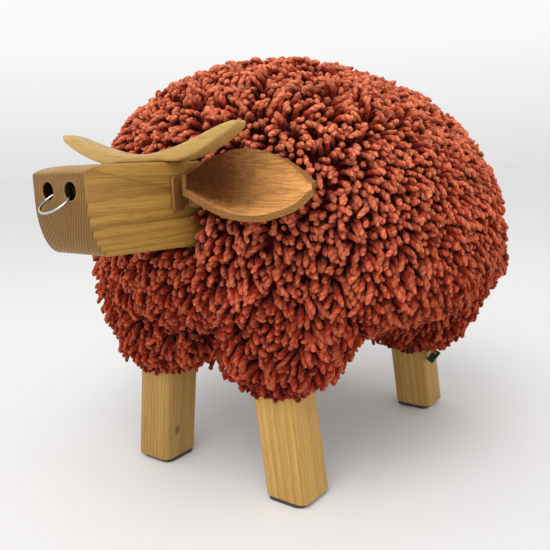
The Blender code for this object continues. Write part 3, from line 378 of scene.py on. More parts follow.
def mottled_material(name, first, second, scale, depth, roughness, stretch=(1, 1, 1)):
    """A matt material mottled between two colours: felt, foam, sawn wood."""
    material, tree = start_material(name)
    place = place_of(tree) * stretch
    coarse = place.noise(scale, 3.0, 0.6)
    fine = place.noise(scale * 4, 2.0, 0.6)
    share = coarse.span(0.35, 0.65) + fine.span(0.3, 0.7, -0.25, 0.25)
    return finish_material(
        material, Base_Color=share.mix(first, second), Roughness=roughness,
        Normal=(coarse + fine).bump(depth))


# Tones that the sawn ends take on, as shares of the side grain's colour
LEG_END_TONE = (0.60, 0.55, 0.48)
HEAD_END_TONE = (0.51, 0.44, 0.30)
HORN_END_TONE = (0.88, 0.86, 0.80)

# The materials made so far
MATERIALS = {}


def material(name):
    """A material of the footstool, made from the scene's settings when it is first needed."""
    if name not in MATERIALS:
        scene = bpy.context.scene
        cover, wood, leather = scene.footstool_cover, scene.footstool_wood, scene.footstool_leather
        bores = (NOSTRIL_X, HINGE.z, HEAD_LOW.y, NOSTRIL_RADIUS)
        recipes = {
            "loop_pile": (yarn_material, cover.yarn, cover.yarn_middle, cover.yarn_deep),
            "leg_oak": (wood_material, wood.oak, wood.oak_late, 0.0042, 0.40, 0.5, LEG_END_TONE, 0.5,
                        leg_knot()),
            "head_oak": (wood_material, wood.head, wood.head_late, 0.0026, 0.34, 0.95, HEAD_END_TONE, 0.5,
                         None, bores),
            "pale_oak": (wood_material, wood.horn, wood.horn_late, 0.0060, 0.18, 0.3, HORN_END_TONE, 0.45),
            "leather": (leather_material, leather.tan, leather.brown),
            "chrome_wire": (metal_material, (0.50, 0.50, 0.51), 0.07),
            "zinc_steel": (metal_material, (0.62, 0.64, 0.66), 0.34),
            "felt": (mottled_material, (0.035, 0.032, 0.03), (0.075, 0.07, 0.066), 900.0, 0.0006, 0.98),
            "foam": (mottled_material, (0.72, 0.66, 0.45), (0.62, 0.55, 0.34), 500.0, 0.0008, 0.95),
            "plywood": (mottled_material, (0.56, 0.41, 0.23), (0.44, 0.29, 0.14), 40.0, 0.0003, 0.7,
                        (1, 1, 7)),
            "dowel_wood": (mottled_material, (0.62, 0.46, 0.27), (0.5, 0.34, 0.18), 60.0, 0.0002, 0.7,
                           (6, 6, 1)),
            "dust_cloth": (weave_material, (0.045, 0.045, 0.05), (0.006, 0.006, 0.007), 0.0016),
            "green_cloth": (weave_material, (0.020, 0.165, 0.060), (0.004, 0.026, 0.009), 0.0012),
        }
        maker, *values = recipes[name]
        MATERIALS[name] = maker(name, *values)
    return MATERIALS[name]


def link_object(name, mesh):
    thing = bpy.data.objects.new(name, mesh)
    bpy.context.scene.collection.objects.link(thing)
    return thing


def mesh_of(shape, name):
    """Turns an edited shape into a mesh and frees it."""
    mesh = bpy.data.meshes.new(name)
    shape.to_mesh(mesh)
    shape.free()
    return mesh


def mesh_from(name, points, faces):
    """A mesh whose faces point outwards."""
    mesh = bpy.data.meshes.new(name)
    mesh.from_pydata([tuple(point) for point in points], [], faces)
    shape = bmesh.new()
    shape.from_mesh(mesh)
    bmesh.ops.recalc_face_normals(shape, faces=shape.faces)
    bpy.data.meshes.remove(mesh)
    return mesh_of(shape, name)


def loft(name, rings, joined=False):
    """A body through rings of equally many points, capped at both ends or joined end to start."""
    count, levels = len(rings[0]), len(rings) - 1 + joined
    faces = []
    for level in range(levels):
        low, high = level * count, (level + 1) % len(rings) * count
        for step in range(count):
            after = (step + 1) % count
            faces.append((low + step, low + after, high + after, high + step))
    if not joined:
        faces += [tuple(reversed(range(count))), tuple(range(levels * count, len(rings) * count))]
    return mesh_from(name, [point for ring in rings for point in ring], faces)


def closed_sheet(name, front, back):
    """A closed body between two grids of points, each a list of rows."""
    columns = len(front[0])
    count = len(front) * columns
    corners = [i * columns + j for i in range(len(front) - 1) for j in range(columns - 1)]
    faces = [(a, a + 1, a + columns + 1, a + columns) for a in corners]
    faces += [tuple(count + corner for corner in reversed(face)) for face in faces]
    rim = [*range(columns), *range(2 * columns - 1, count, columns)]
    rim += [*range(count - 2, count - columns - 1, -1), *range(count - 2 * columns, 0, -columns)]
    faces += [(a, b, count + b, count + a) for a, b in zip(rim, rim[1:] + rim[:1])]
    return mesh_from(name, [point for row in front + back for point in row], faces)


def circle(steps):
    """The cosine and sine of even steps round a circle."""
    angles = [2 * math.pi * step / steps for step in range(steps)]
    return [(math.cos(angle), math.sin(angle)) for angle in angles]


def swing(steps):
    """Places from -1 to 1 that stand closer towards both ends."""
    return [math.sin(math.pi / 2 * (2 * step / steps - 1)) for step in range(steps + 1)]


def rounded_rectangle(half_x, half_y, radius, steps):
    """Corner arcs of a rectangle round the origin, anticlockwise."""
    outline = []
    for quarter, (sign_x, sign_y) in enumerate(((1, 1), (-1, 1), (-1, -1), (1, -1))):
        for step in range(steps + 1):
            angle = (quarter + step / steps) * math.pi / 2
            x = sign_x * (half_x - radius) + radius * math.cos(angle)
            outline.append((x, sign_y * (half_y - radius) + radius * math.sin(angle)))
    return outline


def eased(edge):
    """Insets and rises of the outlines that round an end over."""
    return [(edge, 0), (edge * 0.3, edge * 0.3), (0, edge)]


def slab(name, low, high, radius, edge, steps=5):
    """A plate across X with a rounded outline and rounded edges."""
    middle, half = (low + high) / 2, (high - low) / 2
    levels = [(inset, low.x + rise) for inset, rise in eased(edge)]
    levels += [(inset, high.x - rise) for inset, rise in reversed(eased(edge))]
    rings = []
    for inset, x in levels:
        outline = rounded_rectangle(half.y - inset, half.z - inset, max(radius - inset, edge), steps)
        rings.append([(x, middle.y + y, middle.z + z) for y, z in outline])
    return loft(name, rings)


def tube(name, low, high, radius, sides=32, flare=0.0):
    """A cylinder between two points whose high end widens by the flare."""
    turn = (high - low).to_track_quat("Z", "Y").to_matrix()
    length = (high - low).length
    profile = [(radius, 0.0), (radius, length - flare), (radius + flare, length)]
    if not flare:
        profile = profile[:2]
    around = circle(sides)
    rings = [[low + turn @ Vector((reach * x, reach * y, rise)) for x, y in around]
             for reach, rise in profile]
    return loft(name, rings)


def bore_round(node, axis):
    """A cutter for a hidden round fastener, along one axis of its box."""
    low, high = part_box(node)
    middle = (low + high) / 2
    radius = min(high[i] - low[i] for i in range(3) if i != axis) / 2 + GAP
    start, end = middle.copy(), middle.copy()
    start[axis], end[axis] = low[axis] - GAP, high[axis] + GAP
    return tube(node + "_bore", start, end, radius)


def settle(piece):
    """Makes the piece's modifiers part of its mesh."""
    bpy.context.view_layer.update()
    graph = bpy.context.evaluated_depsgraph_get()
    mesh = bpy.data.meshes.new_from_object(piece.evaluated_get(graph))
    old = piece.data
    piece.modifiers.clear()
    piece.data = mesh
    bpy.data.meshes.remove(old)
    mesh.name = piece.name
    return piece


def change(piece, name, kind, **settings):
    """Settles one modifier into the piece's mesh."""
    step = piece.modifiers.new(name, kind)
    for key, value in settings.items():
        setattr(step, key, value)
    return settle(piece)


def combine(piece, mesh, operation="DIFFERENCE"):
    """Cuts a closed mesh out of a piece, or makes both one body with UNION."""
    other = link_object(mesh.name, mesh)
    change(piece, "combine", "BOOLEAN", operation=operation, solver="EXACT", object=other)
    bpy.data.objects.remove(other)


def round_edges(piece, width, segments):
    return change(piece, "rounded edges", "BEVEL", width=width, segments=segments, limit_method="ANGLE",
                  angle_limit=SMOOTH_ANGLE)


def shade(piece, angle=SMOOTH_ANGLE):
    piece.data.shade_smooth()
    piece.data.set_sharp_from_angle(angle=angle)
    return piece


def numbers(items, name, kind, width):
    """One property of all items of a collection, as the rows of an array."""
    values = np.empty(len(items) * width, kind)
    items.foreach_get(name, values)
    return values.reshape(-1, width)


def vertices_of(mesh):
    """The mesh's points and their normals, as two arrays."""
    points = numbers(mesh.vertices, "co", np.float32, 3)
    return points.astype(float), numbers(mesh.vertex_normals, "vector", np.float32, 3).astype(float)


def set_attribute(mesh, name, values):
    """Stores a number or a vector for each point, or one number for all."""
    values = np.asarray(values, np.float32)
    if values.ndim == 0:
        values = np.full(len(mesh.vertices), values)
    kind, key = ("FLOAT_VECTOR", "vector") if values.ndim == 2 else ("FLOAT", "value")
    mesh.attributes.new(name, kind, "POINT").data.foreach_set(key, values.ravel())


def set_grain(piece, turn, pith, end_power=2.0):
    """Stores where each point lies in its board: Z runs along the grain, and the pith is at 0, 0."""
    points, normals = vertices_of(piece.data)
    turn = np.array(turn, float)
    set_attribute(piece.data, "grain_place", points @ turn.T - np.array(pith, float))
    set_attribute(piece.data, "end_grain", np.abs(normals @ turn[2]) ** end_power)


# How boards are turned whose grain runs along X, Y or Z
GRAIN_X = Matrix(((0, 1, 0), (0, 0, 1), (1, 0, 0)))
GRAIN_Y = Matrix(((1, 0, 0), (0, 0, 1), (0, -1, 0)))
GRAIN_Z = Matrix.Identity(3)


def dress(piece, slot, nodes=(), body="stool"):
    """Gives a finished piece its material and its body, and hides the CAD nodes it stands for."""
    piece.data.materials.clear()
    piece.data.materials.append(material(slot))
    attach(piece, body)
    if nodes:
        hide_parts(*nodes)


# Legs: the sawn end is rounded over, and the grain runs along the leg
LEG_END_ROUND = 0.0009
LEG_EDGE_STEPS = 7
PAD_ROUND = 0.0008
# How much lighter or darker each leg's colour is made
LEG_TONES = {"front_left": 0.07, "front_right": -0.15, "rear_left": -0.08, "rear_right": 0.0}
# Where the pith lies beside each leg, and how far along the tree each leg was cut
LEG_PITH_AWAY = 0.062
LEG_PITH_START = 0.9
LEG_PITH_TURN = 2.1
LEG_BOARD_APART = 0.9
# A knot near the foot of one leg
KNOT_LEG = "front_right"
KNOT_PLACE = (-0.0560, -0.0919, 0.0343)


def leg_ends(corner):
    """The middles of a leg's lowest and highest outlines."""
    points = [vertex.co for vertex in frame["nodes"]["leg_" + corner].data.vertices]
    ends = []
    for level in (min(point.z for point in points), max(point.z for point in points)):
        ring = [point for point in points if abs(point.z - level) < GAP / 3]
        ends.append(sum(ring, Vector()) / len(ring))
    return ends


def leg_grain(corner):
    """How a leg's timber is turned, and where its pith runs."""
    low, high = leg_ends(corner)
    along = (high - low).normalized()
    turn = Matrix((Vector((0, 1, 0)).cross(along), Vector((0, 1, 0)), along))
    index = CORNERS.index(corner)
    angle = LEG_PITH_START + LEG_PITH_TURN * index
    pith = turn @ low + Vector((math.cos(angle), math.sin(angle), 0)) * LEG_PITH_AWAY
    pith.z += LEG_BOARD_APART * index
    return turn, pith


def leg_knot():
    turn, pith = leg_grain(KNOT_LEG)
    return turn @ Vector(KNOT_PLACE) - pith


def post(name, low, high, half, edge, levels):
    """A square post with rounded edges. The levels are insets and rises over its foot."""
    rings = []
    for inset, rise in levels:
        middle = low + (high - low) * (rise / (high.z - low.z))
        outline = rounded_rectangle(half - inset, half - inset, edge, LEG_EDGE_STEPS)
        rings.append([(middle.x + x, middle.y + y, middle.z) for x, y in outline])
    return shade(link_object(name, loft(name, rings)), ROUND_ANGLE)


def build_legs(settings):
    for corner in CORNERS:
        node = "leg_" + corner
        low, high = leg_ends(corner)
        box_low, box_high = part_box(node)
        tall = high.z - low.z
        levels = eased(LEG_END_ROUND) + [(0, tall / 2), (0, tall)]
        leg = post("oak_" + node, low, high, (box_high.y - box_low.y) / 2, settings.leg_edge, levels)
        set_grain(leg, *leg_grain(corner))
        set_attribute(leg.data, "tone", LEG_TONES[corner])
        dress(leg, "leg_oak", [node])


def build_pads(settings):
    for corner in CORNERS:
        node = "foot_pad_" + corner
        low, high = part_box(node)
        middle, half, tall = (low + high) / 2, (high.x - low.x) / 2, high.z - low.z
        ends = [Vector((middle.x, middle.y, z)) for z in (low.z, high.z)]
        levels = eased(PAD_ROUND) + [(0, tall - PAD_ROUND / 2), (PAD_ROUND / 2, tall)]
        dress(post("felt_" + node, *ends, half, settings.leg_edge, levels), "felt", [node])


# Head block, as seen from its side
JAW_RISE = 0.0037
CHIN_DEPTH = 0.018
CHIN_RISE = 0.040
BROW_DEPTH = 0.036
BROW_DROP = 0.0068
HEAD_EDGE = 0.003
HEAD_STEPS = 18
NOSTRIL_X = 0.0130
NOSTRIL_RADIUS = 0.0065
NOSTRIL_DEPTH = 0.026
NOSTRIL_RIM = 0.0006
SEPTUM_HOLE_RADIUS = 0.0026
# The pith of the head's timber, beside and above the middle of its face
HEAD_PITH_X = -0.049
HEAD_PITH_Z = 0.0203


def head_outline():
    """The head's side view as (y, z) pairs, from the throat round the chin and brow to the rear."""
    angles = [math.pi / 2 * step / HEAD_STEPS for step in range(HEAD_STEPS + 1)]
    jaw = HEAD_LOW.z + JAW_RISE
    chin = [(HEAD_LOW.y + CHIN_DEPTH * (1 - math.sin(a)), jaw + CHIN_RISE * (1 - math.cos(a)))
            for a in angles]
    brow = [(HEAD_LOW.y + BROW_DEPTH * (1 - math.cos(a)), HEAD_HIGH.z - BROW_DROP * (1 - math.sin(a)))
            for a in angles]
    return [(HEAD_HIGH.y, HEAD_LOW.z)] + chin + brow + [(HEAD_HIGH.y, HEAD_HIGH.z)]


def build_head():
    rings = [[(x, y, z) for y, z in head_outline()] for x in (-HEAD_HALF, HEAD_HALF)]
    block = link_object("oak_head", loft("oak_head", rings))
    round_edges(block, HEAD_EDGE, 4)
    for _, side in SIDES:
        back = Vector((side * NOSTRIL_X, HEAD_LOW.y + NOSTRIL_DEPTH, HINGE.z))
        front = Vector((side * NOSTRIL_X, HEAD_LOW.y - NOSTRIL_RIM, HINGE.z))
        combine(block, tube("nostril", back, front, NOSTRIL_RADIUS, 48, NOSTRIL_RIM * 2))
    reach = Vector((NOSTRIL_X, 0, 0))
    combine(block, tube("septum_hole", HINGE - reach, HINGE + reach, SEPTUM_HOLE_RADIUS))
    for label, _ in SIDES:
        for name, axis in (("neck_bolt_", 1), ("horn_dowel_", 2), ("ear_screw_", 0)):
            combine(block, bore_round(name + label, axis))
    shade(block)
    set_grain(block, GRAIN_Y, (HEAD_PITH_X, (HEAD_LOW.z + HEAD_HIGH.z) / 2 + HEAD_PITH_Z, 0), 1.5)
    dress(block, "head_oak", ["head_block"])


# Horns: half the flat length on the head, the thickness in the middle and at the tips
HORN_FLAT = 0.039
HORN_MIDDLE_THICK = 0.0062
HORN_TIP_THICK = 0.0040
HORN_EDGE = 0.0022
HORN_STEPS = 88
HORN_END_ROUND = 0.0035
HORN_END_LEAST = 0.12
HORN_EDGE_STEPS = 6
HORN_TIP_DEPTH_SHARE = 0.66
HORN_TAPER_START_SHARE = 0.82
HORN_EDGE_MOST_SHARE = 0.6
HORN_UNDER_POWER = 1.56
HORN_SWEEP_POWER = 1.37
HORN_HOLLOW_POWER = 2.2
# The pith of the horns' timber, behind and below them, and how far along the tree they were cut
HORN_PITH_BEHIND = 0.05
HORN_PITH_BELOW = 0.06
HORN_PITH_ALONG = 3.0


def horn_ring(share):
    """One cross-section of the crescent. The share runs from -1 at the right tip to 1 at the left tip."""
    half_span, away = HORN_HIGH.x, abs(share)
    middle, size = (HORN_LOW + HORN_HIGH) / 2, HORN_HIGH - HORN_LOW
    flat = HORN_FLAT / half_span
    climb = max(0, (away - flat) / (1 - flat))
    sweep = (1 - (1 - away) ** HORN_SWEEP_POWER) ** HORN_HOLLOW_POWER
    low = (size.z - HORN_TIP_THICK) * climb**HORN_UNDER_POWER
    high = HORN_MIDDLE_THICK + (size.z - HORN_MIDDLE_THICK) * sweep
    towards_tip = max(0, (away - HORN_TAPER_START_SHARE) / (1 - HORN_TAPER_START_SHARE))
    half_depth = size.y / 2 * (1 - (1 - HORN_TIP_DEPTH_SHARE) * towards_tip**2)
    ending = max(0, (away * half_span - (half_span - HORN_END_ROUND)) / HORN_END_ROUND)
    closing = max(math.sqrt(max(0, 1 - ending**2)), HORN_END_LEAST)
    half_height = (high - low) / 2 * closing
    half_depth -= HORN_END_ROUND * (1 - closing)
    radius = min(HORN_EDGE, half_height * HORN_EDGE_MOST_SHARE)
    outline = rounded_rectangle(half_depth, half_height, radius, HORN_EDGE_STEPS)
    return [(share * half_span, middle.y + y, HORN_LOW.z + (low + high) / 2 + z) for y, z in outline]


def build_horns():
    crescent = link_object("oak_horns", loft("oak_horns", [horn_ring(share) for share in swing(HORN_STEPS)]))
    for label, _ in SIDES:
        combine(crescent, bore_round("horn_dowel_" + label, 2))
    shade(crescent, SOFT_ANGLE)
    middle = (HORN_LOW + HORN_HIGH) / 2
    set_grain(crescent, GRAIN_X, (middle.y + HORN_PITH_BEHIND, middle.z - HORN_PITH_BELOW, HORN_PITH_ALONG))
    dress(crescent, "pale_oak", ["horns"])


# Ears: thick leather leaves that open forwards and outwards, with their base at the head's side
EAR_GRAIN_START = 0.3
EAR_SWEEP = math.radians(10)
EAR_BASE_Y = HEAD_HIGH.y - 0.03420
EAR_BASE_Z = HEAD_HIGH.z - 0.0165
EAR_LENGTH = 0.1071
EAR_HALF_HEIGHT = 0.0252
EAR_TIP_DROP = 0.0049
EAR_ARCH = 0.0027
EAR_LENGTH_STEPS = 48
EAR_HEIGHT_STEPS = 26
EAR_EDGE = 0.0011
EAR_WAVE = 0.0006
# Half height at even steps from the base to the tip, as shares of the largest
EAR_HEIGHT_SHARES = (0.24, 0.54, 0.79, 0.94, 0.99, 0.93, 0.76, 0.50, 0.08)
# The curl from the level lip at the bottom to the upright top, and the curl of the base end
EAR_LIP_ANGLE = math.radians(15)
EAR_TOP_ANGLE = math.radians(92)
EAR_LIP_SHARE = 0.62
EAR_FACING_OUT = 0.80
EAR_FACING_LOW = 0.037
EAR_BASE_CURL = 0.010
EAR_BASE_CURL_SHARE = 0.13
# How much shade is painted on the ear's hollow, on its stem and on its tab
HOLLOW_PAINTED_SHADE = 0.94
STEM_PAINTED_SHADE = 0.62
TAB_PAINTED_SHADE = 0.84
# The stem behind each leaf that holds it to the head
STEM_CORNER = 0.004
STEM_EDGE = 0.0022
STEM_TOP_BELOW = 0.0160
STEM_HEIGHT = 0.0209
STEM_REACH = 0.010
STEM_FRONT = 0.001
STEM_REAR = 0.017
# The leather tab in front of each ear
TAB_CORNER = 0.003
TAB_EDGE = 0.0011
TAB_GRAIN_START = 0.4


def smooth_between(shares, place):
    """Reads a table of evenly spaced shares along a smooth curve, at a place from 0 to 1."""
    spot = place * (len(shares) - 1)
    index = min(int(spot), len(shares) - 2)
    part = spot - index
    before, after = shares[max(index - 1, 0)], shares[min(index + 2, len(shares) - 1)]
    a, b = shares[index], shares[index + 1]
    curve = 2 * a + (b - before) * part + (2 * before - 5 * a + 4 * b - after) * part**2
    return (curve + (3 * a - before - 3 * b + after) * part**3) / 2


def ear_point(side, along, up):
    """A point on the hollow face of an ear. along runs 0 to 1, up runs -1 to 1."""
    outward = Vector((side * math.cos(EAR_SWEEP), math.sin(EAR_SWEEP), 0))
    back = Vector((-side * EAR_FACING_OUT, 1, -EAR_FACING_LOW))
    root = Vector((side * EAR_ROOT_X, EAR_BASE_Y, EAR_BASE_Z))
    height = EAR_HALF_HEIGHT * max(smooth_between(EAR_HEIGHT_SHARES, along), EAR_HEIGHT_SHARES[-1])
    angle = EAR_LIP_ANGLE + (EAR_TOP_ANGLE - EAR_LIP_ANGLE) * (up + 1) / 2
    whole = math.cos(EAR_LIP_ANGLE) - math.cos(EAR_TOP_ANGLE)
    climb = (math.cos(EAR_LIP_ANGLE) - math.cos(angle)) / whole
    whole_depth = (math.sin(EAR_TOP_ANGLE) - math.sin(EAR_LIP_ANGLE)) / whole
    depth = 2 * height * ((math.sin(angle) - math.sin(EAR_LIP_ANGLE)) / whole - EAR_LIP_SHARE * whole_depth)
    depth -= EAR_BASE_CURL * max(0, 1 - along / EAR_BASE_CURL_SHARE) ** 2
    depth += EAR_WAVE * math.sin(9 * along + 2 * up) * up**2
    rise = (2 * climb - 1) * height - EAR_TIP_DROP * along + 4 * EAR_ARCH * along * (1 - along)
    return root + outward * (along * EAR_LENGTH) + back * depth + Vector((0, 0, rise))


def ear_rows(side):
    """The hollow face as rows of points from the base to the tip, each from the lip to the top."""
    alongs = [1 - (1 - step / EAR_LENGTH_STEPS) ** 1.15 for step in range(EAR_LENGTH_STEPS + 1)]
    return [[ear_point(side, along, up) for up in swing(EAR_HEIGHT_STEPS)] for along in alongs]


def ear_back(side, rows, thickness):
    """The rows of the leaf's back, one thickness behind its hollow face."""
    back = []
    for i, row in enumerate(rows):
        before, after = rows[max(i - 1, 0)], rows[min(i + 1, EAR_LENGTH_STEPS)]
        line = []
        for j, point in enumerate(row):
            above = row[min(j + 1, EAR_HEIGHT_STEPS)] - row[max(j - 1, 0)]
            line.append(point + side * above.cross(after[j] - before[j]).normalized() * thickness)
        back.append(line)
    return back


def ear_stem(side):
    near, far = sorted((side * (HEAD_HALF + GAP), side * (HEAD_HALF + STEM_REACH)))
    top = HEAD_HIGH.z - STEM_TOP_BELOW
    low = Vector((near, EAR_BASE_Y + STEM_FRONT, top - STEM_HEIGHT))
    return slab("leather_stem", low, Vector((far, EAR_BASE_Y + STEM_REAR, top)), STEM_CORNER, STEM_EDGE)


def ear_marks(ear, rows, thickness):
    """Where the leather is cut, from 0 to 1, and how much painted shade each point takes in the ear's hollow
    and on its stem.
    """
    points, normals = vertices_of(ear.data)
    tall = len(rows[0])
    corners = [i * tall + j for i in range(len(rows) - 1) for j in range(tall - 1)]
    faces = [(a, a + 1, a + 1 + tall, a + tall) for a in corners]
    face_of = BVHTree.FromPolygons([point for row in rows for point in row], faces)
    found = [face_of.find_nearest(Vector(point)) for point in points]
    across = np.array([abs(Vector(normal).dot(hit[1])) for normal, hit in zip(normals, found)])
    index, away = np.array([hit[2] for hit in found]), np.array([hit[3] for hit in found])
    along = index // (tall - 1) / (len(rows) - 1)
    up = index % (tall - 1) / (tall - 2)
    # Painted shade: darker near the base and towards the top of the hollow, and on the stem behind the leaf.
    hollow = HOLLOW_PAINTED_SHADE * (1 - ramp(along, 0.20, 0.96)) * ramp(up - 0.26 * along, -0.10, 0.34)
    hollow = np.where(away > thickness * 1.1, STEM_PAINTED_SHADE, hollow)
    return np.clip((0.55 - across) * 3, 0, 1), hollow


def dress_leather(piece, node, cut_edge, hollow):
    set_attribute(piece.data, "cut_edge", cut_edge)
    set_attribute(piece.data, "hollow", hollow)
    dress(piece, "leather", [node])


def build_ears(settings):
    for label, side in SIDES:
        node = "ear_" + label
        rows = ear_rows(side)
        leaf = closed_sheet(node, rows, ear_back(side, rows, settings.thickness))
        ear = link_object("leather_" + node, leaf)
        round_edges(ear, EAR_EDGE, 3)
        combine(ear, ear_stem(side), "UNION")
        combine(ear, bore_round("ear_screw_" + label, 0))
        shade(ear, SOFT_ANGLE)
        set_grain(ear, GRAIN_X, (0, 0, -EAR_GRAIN_START * side))
        dress_leather(ear, node, *ear_marks(ear, rows, settings.thickness))
    for label, side in SIDES:
        node = "ear_tab_" + label
        tab = link_object("leather_tab_" + label, slab("leather_tab", *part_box(node), TAB_CORNER, TAB_EDGE))
        shade(tab, ROUND_ANGLE)
        set_grain(tab, GRAIN_Z, (0, 0, TAB_GRAIN_START * side))
        across = np.abs(vertices_of(tab.data)[1][:, 0])
        # The whole tab takes painted shade.
        dress_leather(tab, node, np.clip(1.6 - 2 * across, 0, 1), TAB_PAINTED_SHADE)


# Nose ring
RING_WIRE_RADIUS = 0.0009
RING_STEPS = 120
RING_WIRE_STEPS = 16
RING_HANG = math.radians(36)


def build_ring():
    radius = RING_HIGH.x - RING_WIRE_RADIUS
    middle = (RING_LOW + RING_HIGH) / 2
    down = Vector((0, -math.cos(RING_HANG), -math.sin(RING_HANG)))
    square = Vector((1, 0, 0)).cross(down)
    rings = []
    for away, across in circle(RING_STEPS):
        outward = Vector((across, 0, 0)) - down * away
        wire = [(outward * out + square * up) * RING_WIRE_RADIUS for out, up in circle(RING_WIRE_STEPS)]
        rings.append([middle + outward * radius + point for point in wire])
    ring = link_object("chrome_ring", loft("chrome_ring", rings, joined=True))
    ring.data.shade_smooth()
    dress(ring, "chrome_wire", ["nose_ring"], "nose_ring")


# Cover: the form under the pile is the cover and its sleeves joined and smoothed
FORM_VOXEL = 0.0045
FORM_SMOOTH_STEPS = 10
HULL_LOW = 0.195
BACKING_THICK = 0.0012
# The backing takes the yarn's colour near the foot of the loops: painted shade between the loops.
BACKING_SHADE_REACH = 0.1
BACKING_TINT = 0.5
LEAST_DEPTH = 0.001
WALL_MARGIN = 0.0026
THICKNESS_SHARE = 0.40


def tree_of(*nodes):
    """A search tree over the meshes of several CAD pieces."""
    points, faces = [], []
    for node in nodes:
        mesh = frame["nodes"][node].data
        start = len(points)
        points += [vertex.co.copy() for vertex in mesh.vertices]
        faces += [[start + v for v in polygon.vertices] for polygon in mesh.polygons]
    return BVHTree.FromPolygons(points, faces)


def cover_form():
    """The outer form of the stuffed cover, closed and smooth, as an object that is used and then removed.

    A hull fills the rooms that the head and the ears have in the dome.
    """
    shape = bmesh.new()
    for vertex in frame["nodes"]["cover_body"].data.vertices:
        if vertex.co.z > HULL_LOW:
            shape.verts.new(vertex.co)
    hull = bmesh.ops.convex_hull(shape, input=shape.verts)
    spare = set(hull["geom_interior"]) | set(hull["geom_unused"])
    spare = [item for item in spare if isinstance(item, bmesh.types.BMVert)]
    bmesh.ops.delete(shape, geom=spare, context="VERTS")
    bmesh.ops.recalc_face_normals(shape, faces=shape.faces)
    for node in COVER_NODES + FOAMS + BOARDS + LEGS:
        shape.from_mesh(frame["nodes"][node].data)
    (left, front, low), (right, rear, _) = DUST_LOW, DUST_HIGH
    outline = ((left, front), (right, front), (right, rear), (left, rear))
    inside = loft("inside", [[(x, y, z) for x, y in outline] for z in (low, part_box("top_board")[1].z)])
    shape.from_mesh(inside)
    bpy.data.meshes.remove(inside)
    form = link_object("cover_form", mesh_of(shape, "cover_form"))
    change(form, "join", "REMESH", mode="VOXEL", voxel_size=FORM_VOXEL)
    return change(form, "smooth", "SMOOTH", factor=0.5, iterations=FORM_SMOOTH_STEPS)


def nearest_distances(tree, points):
    found = [tree.find_nearest(Vector(point)) for point in points]
    return np.array([hit[3] if hit[0] is not None else 1.0 for hit in found])


def within(tree, points):
    """Which points lie inside the tree's closed meshes."""
    inside = np.zeros(len(points), bool)
    for index, point in enumerate(points):
        place, normal, _, _ = tree.find_nearest(Vector(point), 0.05)
        inside[index] = place is not None and (Vector(point) - place).dot(normal) < 0
    return inside


def depths_at(points, normals, own, hard, depth):
    """How deep the backing lies under each point: less where the form is thin or a hard piece is near."""
    depths = np.minimum(depth, nearest_distances(hard, points) - WALL_MARGIN)
    for index, (point, normal) in enumerate(zip(points, normals)):
        start = Vector(point - normal * GAP * 2)
        hit = own.ray_cast(start, Vector(-normal), depth / THICKNESS_SHARE)
        if hit[0] is not None:
            depths[index] = min(depths[index], hit[3] * THICKNESS_SHARE)
    return np.maximum(depths, LEAST_DEPTH)


def relax(values, edges, rounds):
    """Averages values over a mesh's edges."""
    count = np.maximum(np.bincount(edges.ravel(), minlength=len(values)), 1).astype(float)
    count = count.reshape((-1,) + (1,) * (values.ndim - 1))
    for _ in range(rounds):
        total = np.zeros_like(values)
        np.add.at(total, edges[:, 0], values[edges[:, 1]])
        np.add.at(total, edges[:, 1], values[edges[:, 0]])
        values = (values + total / count) / 2
    return values


def scatter(points, triangles, spacing, random):
    """Places at least a spacing apart over triangles: their triangle and their weights on its corners."""
    corners = points[triangles]
    area = np.linalg.norm(np.cross(corners[:, 1] - corners[:, 0], corners[:, 2] - corners[:, 0]), axis=1) / 2
    tries = int(area.sum() / spacing**2 * 6)
    chosen = random.choice(len(triangles), tries, p=area / area.sum())
    first, second = random.random(tries), random.random(tries)
    flip = first + second > 1
    first[flip], second[flip] = 1 - first[flip], 1 - second[flip]
    weights = np.stack([1 - first - second, first, second], axis=1)
    places = (corners[chosen] * weights[:, :, None]).sum(axis=1)
    cells, kept = {}, []
    around = [(x, y, z) for x in (-1, 0, 1) for y in (-1, 0, 1) for z in (-1, 0, 1)]
    keys = np.floor(places / spacing).astype(int)
    for index, (x, y, z) in enumerate(keys.tolist()):
        near = [other for dx, dy, dz in around for other in cells.get((x + dx, y + dy, z + dz), ())]
        if all(((places[index] - places[other]) ** 2).sum() >= spacing**2 for other in near):
            cells.setdefault((x, y, z), []).append(index)
            kept.append(index)
    return chosen[kept], weights[kept]


def unit(vectors):
    return vectors / np.maximum(np.linalg.norm(vectors, axis=-1, keepdims=True), 1e-9)


def ramp(values, low, high):
    share = np.clip((values - low) / (high - low), 0, 1)
    return share * share * (3 - 2 * share)


def soft_field(places, size, seed):
    """A smooth random direction at each place, alike over about one size."""
    smooth_noise.seed_set(seed)
    offset = Vector((seed * 3.7, seed * 1.3, seed * 2.9))
    return np.array([smooth_noise.noise_vector(Vector(place) / size + offset) for place in places])


# Shares of a loop's length, and its width there; the tip closes it
LOOP_SHARES = np.array((0.0, 0.15, 0.30, 0.45, 0.59, 0.72, 0.84, 0.945, 1.0))
LOOP_PROFILE = np.array((0.80, 0.92, 0.98, 1.02, 1.04, 1.08, 1.10, 0.86, 0.34))
LOOP_SIDES = 8
# Room between a loop and a hard piece
LOOP_CLEAR = 0.0004
# How lumpy the yarn is, how far its two plies stand out, and how far a loop curls sideways
LOOP_LUMPS = 0.13
LOOP_LOBES = 0.17
LOOP_CURL = 0.0030
LOOP_LEAST = 0.009
LOOP_MOST = 0.031
LOOP_HEIGHT_SPREAD = 0.0046
# How far the loops bend over: on the crown, on the sides and on the leg sleeves
CROWN_BEND = math.radians(68)
SIDE_BEND = math.radians(58)
SLEEVE_BEND = math.radians(76)
BEND_SPREAD = math.radians(20)
CROWN_START = 0.42
CROWN_FULL = 0.80
FLOP_SIZE = 0.017
